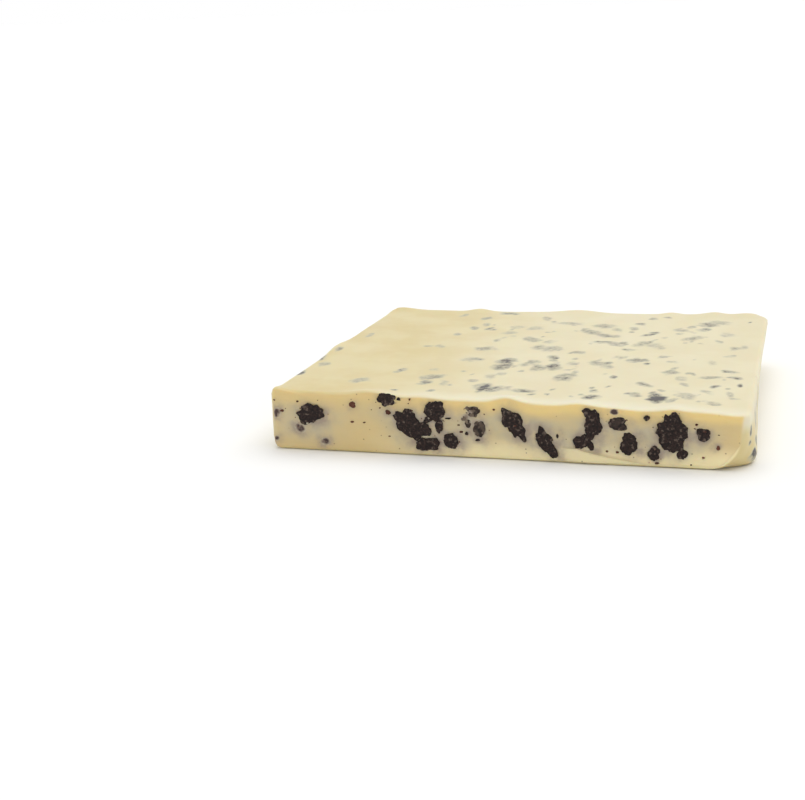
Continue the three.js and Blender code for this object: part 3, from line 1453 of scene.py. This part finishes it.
class Signal:
    """A number that varies over a surface, so that shader maths reads as plain Python."""

    def __init__(self, bench: "Bench", socket: bpy.types.NodeSocket) -> None:
        """Wraps an output socket of the bench's material."""
        self.bench = bench
        self.socket = socket

    def maths(self, operation: str, *values: "Signal | float") -> "Signal":
        """The result of one Math node."""
        inputs = dict(enumerate(values))
        return self.bench.signal("ShaderNodeMath", {"operation": operation}, inputs)

    def __add__(self, other: "Signal | float") -> "Signal":
        """The sum."""
        return self.maths("ADD", self, other)

    __radd__ = __add__

    def __sub__(self, other: "Signal | float") -> "Signal":
        """The difference."""
        return self.maths("SUBTRACT", self, other)

    def __rsub__(self, other: float) -> "Signal":
        """The difference, from the other number."""
        return self.maths("SUBTRACT", other, self)

    def __mul__(self, other: "Signal | float") -> "Signal":
        """The product."""
        return self.maths("MULTIPLY", self, other)

    __rmul__ = __mul__

    def centred(self) -> "Signal":
        """Noise about its middle, from -0.5 to 0.5."""
        return self - 0.5

    def lifted(self, least: float) -> "Signal":
        """A number from 0 to 1, taken in proportion to the range from least to 1."""
        return least + (1 - least) * self

    def clamped(self) -> "Signal":
        """The number kept from 0 to 1."""
        return self.bench.signal("ShaderNodeClamp", {}, {"Value": self})

    def eased(self, low: float, high: float) -> "Signal":
        """A smooth step of the number.

        Args:
            low: Up to where it is 0.
            high: From where it is 1.

        Returns:
            The step as a signal.
        """
        settings = {"interpolation_type": "SMOOTHSTEP"}
        inputs = {"Value": self, "From Min": low, "From Max": high}
        return self.bench.signal("ShaderNodeMapRange", settings, inputs)


class Bench:
    """Builds one material's nodes.

    MIX_INPUTS and MIX_OUTPUT number the factor and the colours among the Mix node's sockets.
    """

    MIX_INPUTS = (0, 6, 7)
    MIX_OUTPUT = 2

    def __init__(self, name: str) -> None:
        """Starts a material with its Principled shader.

        Args:
            name: The material's name.
        """
        self.material = bpy.data.materials.new(name)
        self.material.use_nodes = True
        self.tree = self.material.node_tree
        self.shader = next(n for n in self.tree.nodes if n.type == "BSDF_PRINCIPLED")
        self.place = self.node("ShaderNodeTexCoord").outputs["Object"]

    def node(
        self, kind: str, settings: dict | None = None, inputs: dict | None = None
    ) -> bpy.types.Node:
        """Adds any node.

        Args:
            kind: The node's type.
            settings: Its settings, which are set first.
            inputs: Values or links of its sockets, by name or number.

        Returns:
            The node.
        """
        made = self.tree.nodes.new(kind)
        for name, value in (settings or {}).items():
            setattr(made, name, value)
        for name, value in (inputs or {}).items():
            self.feed(made.inputs[name], value)
        return made

    def feed(self, socket: bpy.types.NodeSocket, value: object) -> None:
        """Sets a socket's value, or links to it.

        Args:
            socket: The input socket.
            value: A plain value, or a signal or an output socket to link.
        """
        if isinstance(value, Signal):
            value = value.socket
        if isinstance(value, bpy.types.NodeSocket):
            self.tree.links.new(value, socket)
        else:
            socket.default_value = value

    def signal(
        self,
        kind: str,
        settings: dict | None = None,
        inputs: dict | None = None,
        output: int | str = 0,
    ) -> Signal:
        """Adds a node and wraps one of its outputs."""
        return Signal(self, self.node(kind, settings, inputs).outputs[output])

    def attribute(self, name: str) -> Signal:
        """A number that the mesh holds for each vertex."""
        return self.signal("ShaderNodeAttribute", {"attribute_name": name}, output="Fac")

    def noise(self, size: float, detail: float = 3.0, stretch: Triple = (1, 1, 1)) -> Signal:
        """Noise in the piece's own space.

        Args:
            size: The size of its lumps, in millimetres.
            detail: How many finer layers it has.
            stretch: How far the lumps are stretched along each axis.

        Returns:
            A signal from 0 to 1.
        """
        squeeze = [1 / s for s in stretch]
        mapped = self.node("ShaderNodeMapping", {}, {"Vector": self.place, "Scale": squeeze})
        inputs = {"Vector": mapped.outputs[0], "Scale": 1 / (size * MM), "Detail": detail}
        return self.signal("ShaderNodeTexNoise", {}, inputs)

    def mix(self, factor: Signal | float, first: object, second: object) -> bpy.types.NodeSocket:
        """One colour fading to another.

        Args:
            factor: How far it has faded, from 0 to 1.
            first: The first colour, or its socket.
            second: The second.

        Returns:
            The mixed colour's socket.
        """
        made = self.node("ShaderNodeMix", {"data_type": "RGBA"})
        for place, value in zip(self.MIX_INPUTS, (factor, first, second)):
            self.feed(made.inputs[place], value)
        return made.outputs[self.MIX_OUTPUT]

    def bump(self, height: Signal) -> None:
        """Feeds the shader's normal from a height in millimetres."""
        inputs = {"Height": height, "Distance": MM, "Strength": 1.0}
        self.feed(self.shader.inputs["Normal"], self.node("ShaderNodeBump", {}, inputs).outputs[0])


@dataclass(frozen=True)
class ChocolateFinish:
    """White chocolate: pale and waxy where it was poured, tanner and rougher where it was cut.

    Attributes:
        poured: The poured faces.
        poured_deep: Their yellower clouds.
        painted_highlight: The colour of the top's painted light, behind the front rim and at the
            right.
        cut_low: The lower part of the cut face.
        cut_middle: Its middle.
        cut_high: The band under its rim.
        lip: The thin lip.
        crease_shade: Painted shade in the crease along the lip.
        haze: Chocolate between bits that lie close.
        dust: Chocolate greyed by wafer dust.
        bloom: Wafer deep under the film.
        veil: Wafer under a thinner film.
        kernel: Wafer under the thinnest film.
        cut_veil: Wafer under a smear of chocolate on the cut face.
        cut_kernel: The same where the smear is thinnest.
        fleck: Single grains of wafer.
        painted_light_share: How far that painted light colour replaces the poured one.
        crease_shade_share: How far the painted crease shade shows.
        lip_share: How far the lip's does.
        fleck_share: How far the single grains' does.
        dust_share: How far the dust's does.
        bloom_share: How far the bloom's does.
        veil_share: How far the veil's does.
        cloud_fade: Between which values of the wide noise the yellower clouds set in.
        band_sway: How far the wide noise shifts the cut face's colours, as a share of its height.
        pale_fade: Between which shares of the height its pale foot ends.
        golden_fade: Between which shares of the height the band under its rim sets in.
        golden_left: How much of that band is left at the left end.
        lip_soft: Half the width of the lip's edge.
        crease_shade_starts: Between which gaps from the lip's edge the painted crease shade sets
            in.
        crease_shade_ends: Between which gaps it ends.
        patch_fade: Between which values of its noise a patch of dust sets in.
        haze_least: How much of the haze is left between the patches.
        dust_least: How much of the dust is left between them.
        dust_base: How strong the dust is where the finest noise is 0.
        dust_crumb: How much stronger it is where that noise is 1.
        spot_base: How strongly a spot shows where both noises are at their middles.
        spot_grain: How much the fine noise varies that.
        spot_crumb: How much the finest noise varies it.
        bloom_fade: Between which strengths of a spot the bloom sets in.
        veil_fade: Between which strengths, varied by the noises, the veil does.
        kernel_fade: Between which of those the kernel does.
        fleck_ends: Between which shares of its cell from its middle a single grain ends.
        fleck_draws: Between which draws its cell begins to hold it.
        cloud_size: The size of the wide clouds.
        grain_size: The size of the fine noise's lumps.
        crumb_size: The size of the finest noise's lumps.
        patch_size: The size of the patches of dust.
        drag_size: The size of the knife's drag marks.
        drag_stretch: How far they are stretched along each axis.
        cell_size: The size of the cells that hold one grain each, at most.
        cloud_height: The height of the wide clouds in the poured faces.
        grain_height: The height of the fine noise there.
        drag_height: The height of the drag marks in the cut face.
        crumb_height: The height of the finest noise there.
        lip_height: The height of the lip's edge.
        rough_poured: How rough the poured faces are.
        rough_cut: How much rougher the cut face is.
        rough_grain: How much the fine noise varies that.
        shine: The strength of its reflections.
        scatter_weight: How much light goes on through the chocolate.
        scatter_radius: How far it goes, by colour, as shares of the scale.
        scatter_scale: The scale, in metres.
    """

    poured: Colour = srgb(221, 207, 160)
    poured_deep: Colour = srgb(215, 197, 143)
    painted_highlight: Colour = srgb(234, 229, 204)
    cut_low: Colour = srgb(250, 234, 186)
    cut_middle: Colour = srgb(219, 196, 142)
    cut_high: Colour = srgb(236, 210, 142)
    lip: Colour = srgb(244, 230, 184)
    crease_shade: Colour = srgb(176, 150, 98)
    haze: Colour = srgb(198, 188, 158)
    dust: Colour = srgb(164, 146, 132)
    bloom: Colour = srgb(205, 200, 174)
    veil: Colour = srgb(174, 168, 144)
    kernel: Colour = srgb(78, 72, 70)
    cut_veil: Colour = srgb(144, 124, 110)
    cut_kernel: Colour = srgb(74, 56, 52)
    fleck: Colour = srgb(120, 86, 62)
    painted_light_share: float = 0.8
    crease_shade_share: float = 0.3
    lip_share: float = 0.85
    fleck_share: float = 0.6
    dust_share: float = 0.8
    bloom_share: float = 0.6
    veil_share: float = 0.85
    cloud_fade: Pair = (0.35, 0.65)
    band_sway: float = 0.35
    pale_fade: Pair = (0.2, 0.55)
    golden_fade: Pair = (0.84, 1.02)
    golden_left: float = 0.3
    lip_soft: float = 0.1
    crease_shade_starts: Pair = (-0.15, 0.05)
    crease_shade_ends: Pair = (0.1, 0.7)
    patch_fade: Pair = (0.35, 0.65)
    haze_least: float = 0.65
    dust_least: float = 0.3
    dust_base: float = 0.6
    dust_crumb: float = 0.8
    spot_base: float = 0.95
    spot_grain: float = 1.8
    spot_crumb: float = 1.2
    bloom_fade: Pair = (0.0, 0.5)
    veil_fade: Pair = (0.08, 0.55)
    kernel_fade: Pair = (0.4, 0.9)
    fleck_ends: Pair = (0.08, 0.16)
    fleck_draws: Pair = (0.72, 0.78)
    cloud_size: float = 13.0
    grain_size: float = 1.3
    crumb_size: float = 0.5
    patch_size: float = 2.4
    drag_size: float = 0.8
    drag_stretch: Triple = (6.0, 1.0, 0.6)
    cell_size: float = 1.3
    cloud_height: float = 0.1
    grain_height: float = 0.012
    drag_height: float = 0.09
    crumb_height: float = 0.06
    lip_height: float = 0.3
    rough_poured: float = 0.4
    rough_cut: float = 0.14
    rough_grain: float = 0.12
    shine: float = 0.35
    scatter_weight: float = 0.4
    scatter_radius: Triple = (1.0, 0.62, 0.28)
    scatter_scale: float = 0.0013

    def material(self) -> bpy.types.Material:
        """The finish as a material, from its colour, its roughness and its bump.

        Returns:
            The material.
        """
        bench = Bench("white_chocolate")
        cut = bench.attribute("cut")
        broad, fine = bench.noise(self.cloud_size), bench.noise(self.grain_size, detail=4)
        crumb = bench.noise(self.crumb_size, detail=4)
        colour = self.plain_colour(bench, cut, broad)
        colour = self.dusted(bench, colour, crumb)
        colour = self.spotted(bench, colour, fine, crumb)
        colour = self.lipped(bench, colour)
        colour = bench.mix(self.flecks(bench) * cut * self.fleck_share, colour, self.fleck)
        rough = self.rough_poured + self.rough_cut * cut + fine.centred() * self.rough_grain
        shader = bench.shader
        bench.feed(shader.inputs["Base Color"], colour)
        bench.feed(shader.inputs["Roughness"], rough.clamped())
        poured_height = broad.centred() * self.cloud_height + fine.centred() * self.grain_height
        bench.bump(poured_height * (1 - cut) + self.cut_height(bench, crumb) * cut)
        shader.inputs["Subsurface Weight"].default_value = self.scatter_weight
        shader.inputs["Subsurface Radius"].default_value = self.scatter_radius
        shader.inputs["Subsurface Scale"].default_value = self.scatter_scale
        shader.inputs["Specular IOR Level"].default_value = self.shine
        return bench.material

    def cut_height(self, bench: Bench, crumb: Signal) -> Signal:
        """The height of the cut face's bump: drag marks, crumb and the lip.

        Args:
            bench: The material's bench.
            crumb: Noise of about half a millimetre.

        Returns:
            The height in millimetres.
        """
        drag = bench.noise(self.drag_size, detail=4, stretch=self.drag_stretch)
        lip = self.on_lip(bench) * bench.attribute("lip_relief")
        plain = drag.centred() * self.drag_height + crumb.centred() * self.crumb_height
        return plain + lip * self.lip_height

    def on_lip(self, bench: Bench) -> Signal:
        """Whether a place lies on the lip, from 0 to 1 across its edge."""
        return 1 - bench.attribute("lip_gap").eased(-self.lip_soft, self.lip_soft)

    def plain_colour(self, bench: Bench, cut: Signal, broad: Signal) -> bpy.types.NodeSocket:
        """The chocolate's colour without wafer, with the top's painted light.

        Args:
            bench: The material's bench.
            cut: How far a place belongs to the cut face.
            broad: Wide noise.

        Returns:
            The poured faces' colour, and the cut one's there.
        """
        poured = bench.mix(broad.eased(*self.cloud_fade), self.poured, self.poured_deep)
        # Painted light on the top: the pale attribute mixes in the painted highlight colour.
        poured = bench.mix(bench.attribute("pale") * self.painted_light_share, poured, self.painted_highlight)
        return bench.mix(cut, poured, self.cut_colour(bench, broad))

    def lipped(self, bench: Bench, colour: bpy.types.NodeSocket) -> bpy.types.NodeSocket:
        """The colour with the lip and the painted shade in the crease along it.

        Args:
            bench: The material's bench.
            colour: The chocolate's colour.

        Returns:
            The colour with both.
        """
        gap = bench.attribute("lip_gap")
        # Painted shade: a darker line in the crease just inside the lip's edge.
        crease_shade = gap.eased(*self.crease_shade_starts) * (1 - gap.eased(*self.crease_shade_ends))
        shown = crease_shade * bench.attribute("lip_relief") * self.crease_shade_share
        colour = bench.mix(shown, colour, self.crease_shade)
        lip = self.on_lip(bench) * bench.attribute("lip")
        return bench.mix(lip * self.lip_share, colour, self.lip)

    def cut_colour(self, bench: Bench, broad: Signal) -> bpy.types.NodeSocket:
        """The cut face's colour: duller in the middle, golden under the rim and pale low down.

        The pale colour fades out towards the left end, and the golden one fades there.

        Args:
            bench: The material's bench.
            broad: Wide noise, which shifts the colours up and down.

        Returns:
            The colour.
        """
        cream = bench.attribute("cream")
        rise = bench.attribute("rise") + broad.centred() * self.band_sway
        pale = (1 - rise.eased(*self.pale_fade)) * cream
        golden = rise.eased(*self.golden_fade) * cream.lifted(self.golden_left)
        return bench.mix(golden, bench.mix(pale, self.cut_middle, self.cut_low), self.cut_high)

    def dusted(
        self, bench: Bench, colour: bpy.types.NodeSocket, crumb: Signal
    ) -> bpy.types.NodeSocket:
        """The colour with the dust round the bits.

        Args:
            bench: The material's bench.
            colour: The chocolate's colour.
            crumb: Noise of about half a millimetre.

        Returns:
            The dusted colour.
        """
        patches = bench.noise(self.patch_size, detail=4).eased(*self.patch_fade)
        hazy = bench.attribute("haze") * patches.lifted(self.haze_least)
        colour = bench.mix(hazy.clamped(), colour, self.haze)
        dusty = bench.attribute("halo") * patches.lifted(self.dust_least)
        dusty = dusty * (self.dust_base + self.dust_crumb * crumb)
        return bench.mix((dusty * self.dust_share).clamped(), colour, self.dust)

    def spotted(
        self, bench: Bench, colour: bpy.types.NodeSocket, fine: Signal, crumb: Signal
    ) -> bpy.types.NodeSocket:
        """The colour with the wafer that shows through the chocolate.

        Args:
            bench: The material's bench.
            colour: The chocolate's colour.
            fine: Noise of about a millimetre.
            crumb: Noise of about half a millimetre.

        Returns:
            The spotted colour.
        """
        cut, spot = bench.attribute("cut"), bench.attribute("spot")
        veil = bench.mix(cut, self.veil, self.cut_veil)
        kernel = bench.mix(cut, self.kernel, self.cut_kernel)
        grains = self.spot_base + self.spot_grain * fine.centred()
        shown = spot * (grains + self.spot_crumb * crumb.centred())
        colour = bench.mix(spot.eased(*self.bloom_fade) * self.bloom_share, colour, self.bloom)
        colour = bench.mix(shown.eased(*self.veil_fade) * self.veil_share, colour, veil)
        return bench.mix(shown.eased(*self.kernel_fade), colour, kernel)

    def flecks(self, bench: Bench) -> Signal:
        """Single grains of wafer: small round marks in the few cells whose own draw is high.

        Args:
            bench: The material's bench.

        Returns:
            A signal that is 1 in the marks.
        """
        inputs = {"Vector": bench.place, "Scale": 1 / (self.cell_size * MM)}
        cells = bench.node("ShaderNodeTexVoronoi", {}, inputs)
        near = Signal(bench, cells.outputs["Distance"])
        chosen = bench.signal("ShaderNodeSeparateColor", {}, {"Color": cells.outputs["Color"]})
        return (1 - near.eased(*self.fleck_ends)) * chosen.eased(*self.fleck_draws)


@dataclass(frozen=True)
class WaferFinish:
    """Dark cocoa wafer: matt, porous and nearly black, red-brown where it is thin.

    Attributes:
        black: Its darkest parts.
        brown: Its crumb.
        red: Thin wafer.
        dust: Pale grains on it.
        smear: Chocolate smeared over it.
        dust_share: How far the grains' colour shows.
        crumb_fade: Between which values of the crumb's noise its brown sets in.
        red_least: How much of the red is left where the lumps' noise is 0.
        grain_part: The grains' own part in the noise that they follow, which the lumps' fills up.
        grain_fade: Between which values of that noise they set in.
        smear_fade: Between which values of its noise a patch of the smear sets in.
        smear_thin: How much of the smear is left between the patches.
        smear_thick: How much more there is in them.
        lump_size: The size of its broken lumps.
        crumb_size: The size of its crumb.
        pore_size: The size of its pores.
        grain_size: The size of the pale grains.
        smear_size: The size of the smear's patches.
        crumb_height: The height of its crumb.
        pore_height: The depth of its pores.
        rough: How rough it is.
        rough_crumb: How much the crumb's noise varies that.
        shine: The strength of its reflections.
    """

    black: Colour = srgb(26, 18, 16)
    brown: Colour = srgb(60, 43, 38)
    red: Colour = srgb(124, 72, 52)
    dust: Colour = srgb(150, 132, 118)
    smear: Colour = srgb(176, 156, 134)
    dust_share: float = 0.35
    crumb_fade: Pair = (0.35, 0.75)
    red_least: float = 0.5
    grain_part: float = 0.8
    grain_fade: Pair = (0.54, 0.68)
    smear_fade: Pair = (0.42, 0.6)
    smear_thin: float = 0.15
    smear_thick: float = 1.25
    lump_size: float = 1.6
    crumb_size: float = 0.4
    pore_size: float = 0.18
    grain_size: float = 0.7
    smear_size: float = 1.1
    crumb_height: float = 0.22
    pore_height: float = 0.1
    rough: float = 0.74
    rough_crumb: float = 0.3
    shine: float = 0.3

    def material(self) -> bpy.types.Material:
        """The finish as a material.

        Returns:
            The material.
        """
        bench = Bench("cocoa_wafer")
        shader = bench.shader
        lumps = bench.noise(self.lump_size, detail=4)
        crumb = bench.noise(self.crumb_size, detail=5)
        pores, grains = bench.noise(self.pore_size), bench.noise(self.grain_size, detail=1.5)
        patches = bench.noise(self.smear_size).eased(*self.smear_fade)
        colour = bench.mix(crumb.eased(*self.crumb_fade), self.black, self.brown)
        warm = bench.attribute("warm") * lumps.lifted(self.red_least)
        colour = bench.mix(warm, colour, self.red)
        dusty = grains * self.grain_part + lumps * (1 - self.grain_part)
        colour = bench.mix(dusty.eased(*self.grain_fade) * self.dust_share, colour, self.dust)
        smear = bench.attribute("smear") * (self.smear_thin + self.smear_thick * patches)
        colour = bench.mix(smear.clamped(), colour, self.smear)
        bench.feed(shader.inputs["Base Color"], colour)
        rough = self.rough + crumb.centred() * self.rough_crumb
        bench.feed(shader.inputs["Roughness"], rough.clamped())
        bench.bump(crumb.centred() * self.crumb_height + pores.centred() * self.pore_height)
        shader.inputs["Specular IOR Level"].default_value = self.shine
        return bench.material


@dataclass(frozen=True)
class FloorFinish:
    """Plain pale card.

    Attributes:
        card: Its colour.
        shade: Its slightly darker clouds.
        cloud_size: Their size.
        rough: How rough it is.
        shine: The strength of its reflections.
    """

    card: Colour = srgb(250, 250, 249)
    shade: Colour = srgb(246, 246, 245)
    cloud_size: float = 220.0
    rough: float = 0.9
    shine: float = 0.1

    def material(self) -> bpy.types.Material:
        """The finish as a material.

        Returns:
            The material.
        """
        bench = Bench("pale_card")
        colour = bench.mix(bench.noise(self.cloud_size), self.card, self.shade)
        bench.feed(bench.shader.inputs["Base Color"], colour)
        bench.shader.inputs["Roughness"].default_value = self.rough
        bench.shader.inputs["Specular IOR Level"].default_value = self.shine
        return bench.material


@dataclass(frozen=True)
class Lamp:
    """A far soft lamp.

    Attributes:
        name: Its name.
        towards: The direction in which it lies from the slab.
        spread: How wide it is seen from the slab, in degrees.
        strength: How strongly it lights a face turned to it.
    """

    name: str
    towards: Triple
    spread: float
    strength: float


@dataclass
class Studio:
    """The floor, the lamps and the camera.

    Attributes:
        floor_side: The floor's side, in metres.
        sky: The brightness of the white surround overhead.
        horizon: Its brightness at the horizon.
        sky_ends: Between which heights it fades from the one to the other, as a sine.
        lamps: The lamps.
        focal: The camera's focal length, in pixels of the photograph.
        picture_width: The photograph's width in pixels.
        sensor: The camera's sensor width, in millimetres.
        azimuth: How far the camera is turned to the left of the slab's Y axis, in degrees.
        pitch: How far it looks down, in degrees.
        roll: How far it is rolled, in degrees.
        place: Where it stands from the slab's front left foot, in millimetres.
        nearest: How near it still sees, in metres.
    """

    floor_side: float = 120.0
    sky: float = 0.62
    horizon: float = 1.0
    sky_ends: Pair = (0.08, 0.3)
    lamps: tuple[Lamp, ...] = (Lamp("overhead", (0.15, 0.25, 1.0), 70, 1.55),)
    focal: float = 1478.0
    picture_width: float = 805.0
    sensor: float = 36.0
    azimuth: float = 16.6
    pitch: float = 14.8
    roll: float = -2.05
    place: Triple = (115.4, -287.0, 91.2)
    nearest: float = 0.01

    def build_floor(self) -> bpy.types.Object:
        """Makes a wide flat floor at the slab's foot.

        Returns:
            The floor.
        """
        half = self.floor_side / 2
        mesh = bpy.data.meshes.new("floor")
        corners = [(-half, -half, 0), (half, -half, 0), (half, half, 0), (-half, half, 0)]
        mesh.from_pydata(corners, [], [(0, 1, 2, 3)])
        mesh.materials.append(FloorFinish().material())
        floor = bpy.data.objects.new("floor", mesh)
        bpy.context.scene.collection.objects.link(floor)
        return floor

    def build_lamps(self) -> None:
        """The white surround, brightest at the horizon, and the lamps turned to the slab."""
        world = bpy.data.worlds.new("surround")
        world.use_nodes = True
        tree = world.node_tree
        place, split, fade = (
            tree.nodes.new(kind)
            for kind in ("ShaderNodeTexCoord", "ShaderNodeSeparateXYZ", "ShaderNodeMapRange")
        )
        limits = (*self.sky_ends, self.horizon, self.sky)
        for name, value in zip(("From Min", "From Max", "To Min", "To Max"), limits):
            fade.inputs[name].default_value = value
        background = tree.nodes["Background"]
        background.inputs["Color"].default_value = (1, 1, 1, 1)
        tree.links.new(place.outputs["Generated"], split.inputs[0])
        tree.links.new(split.outputs["Z"], fade.inputs["Value"])
        tree.links.new(fade.outputs[0], background.inputs["Strength"])
        bpy.context.scene.world = world
        for lamp in self.lamps:
            sun = bpy.data.lights.new(lamp.name, "SUN")
            sun.angle = math.radians(lamp.spread)
            sun.energy = lamp.strength
            made = bpy.data.objects.new(lamp.name, sun)
            made.rotation_euler = Vector(lamp.towards).to_track_quat("Z", "Y").to_euler()
            bpy.context.scene.collection.objects.link(made)

    def build_camera(self, shift: np.ndarray) -> bpy.types.Object:
        """The camera, at the photograph's place and angle.

        Args:
            shift: Where the slab's front left foot lies in the shared frame.

        Returns:
            The camera.
        """
        turn, down, roll = map(math.radians, (self.azimuth, self.pitch, self.roll))
        forward = np.array([
            -math.sin(turn) * math.cos(down), math.cos(turn) * math.cos(down), -math.sin(down)
        ])
        level = np.array([math.cos(turn), math.sin(turn), 0.0])
        upright = np.cross(level, forward)
        right = math.cos(roll) * level + math.sin(roll) * upright
        up = math.cos(roll) * upright - math.sin(roll) * level
        place = (np.array(self.place) + shift) * MM
        columns = np.stack([right, up, -forward, place], axis=1)
        lens = bpy.data.cameras.new("camera")
        lens.sensor_width = self.sensor
        lens.lens = self.sensor * self.focal / self.picture_width
        lens.clip_start = self.nearest
        camera = bpy.data.objects.new("camera", lens)
        camera.matrix_world = Matrix([*columns.tolist(), [0, 0, 0, 1]])
        bpy.context.scene.collection.objects.link(camera)
        bpy.context.scene.camera = camera
        return camera


def main() -> None:
    """Builds the slab and what lies in it, then the stage round it."""
    logging.basicConfig(level=logging.INFO, format="%(message)s")
    bpy.context.scene.view_settings.view_transform = "Standard"
    form = SlabForm()
    wafer = WaferFinish()
    slab, shift = Slab(form).build(ChocolateFinish())
    pieces = [
        slab,
        WaferBits(form).build(shift, wafer),
        Flecks(form).build(shift, wafer),
    ]
    for piece in pieces:
        LOG.info("%s: %d faces", piece.name, len(piece.data.polygons))
    studio = Studio()
    studio.build_floor()
    studio.build_lamps()
    studio.build_camera(shift)


if __name__ == "__main__":
    main()
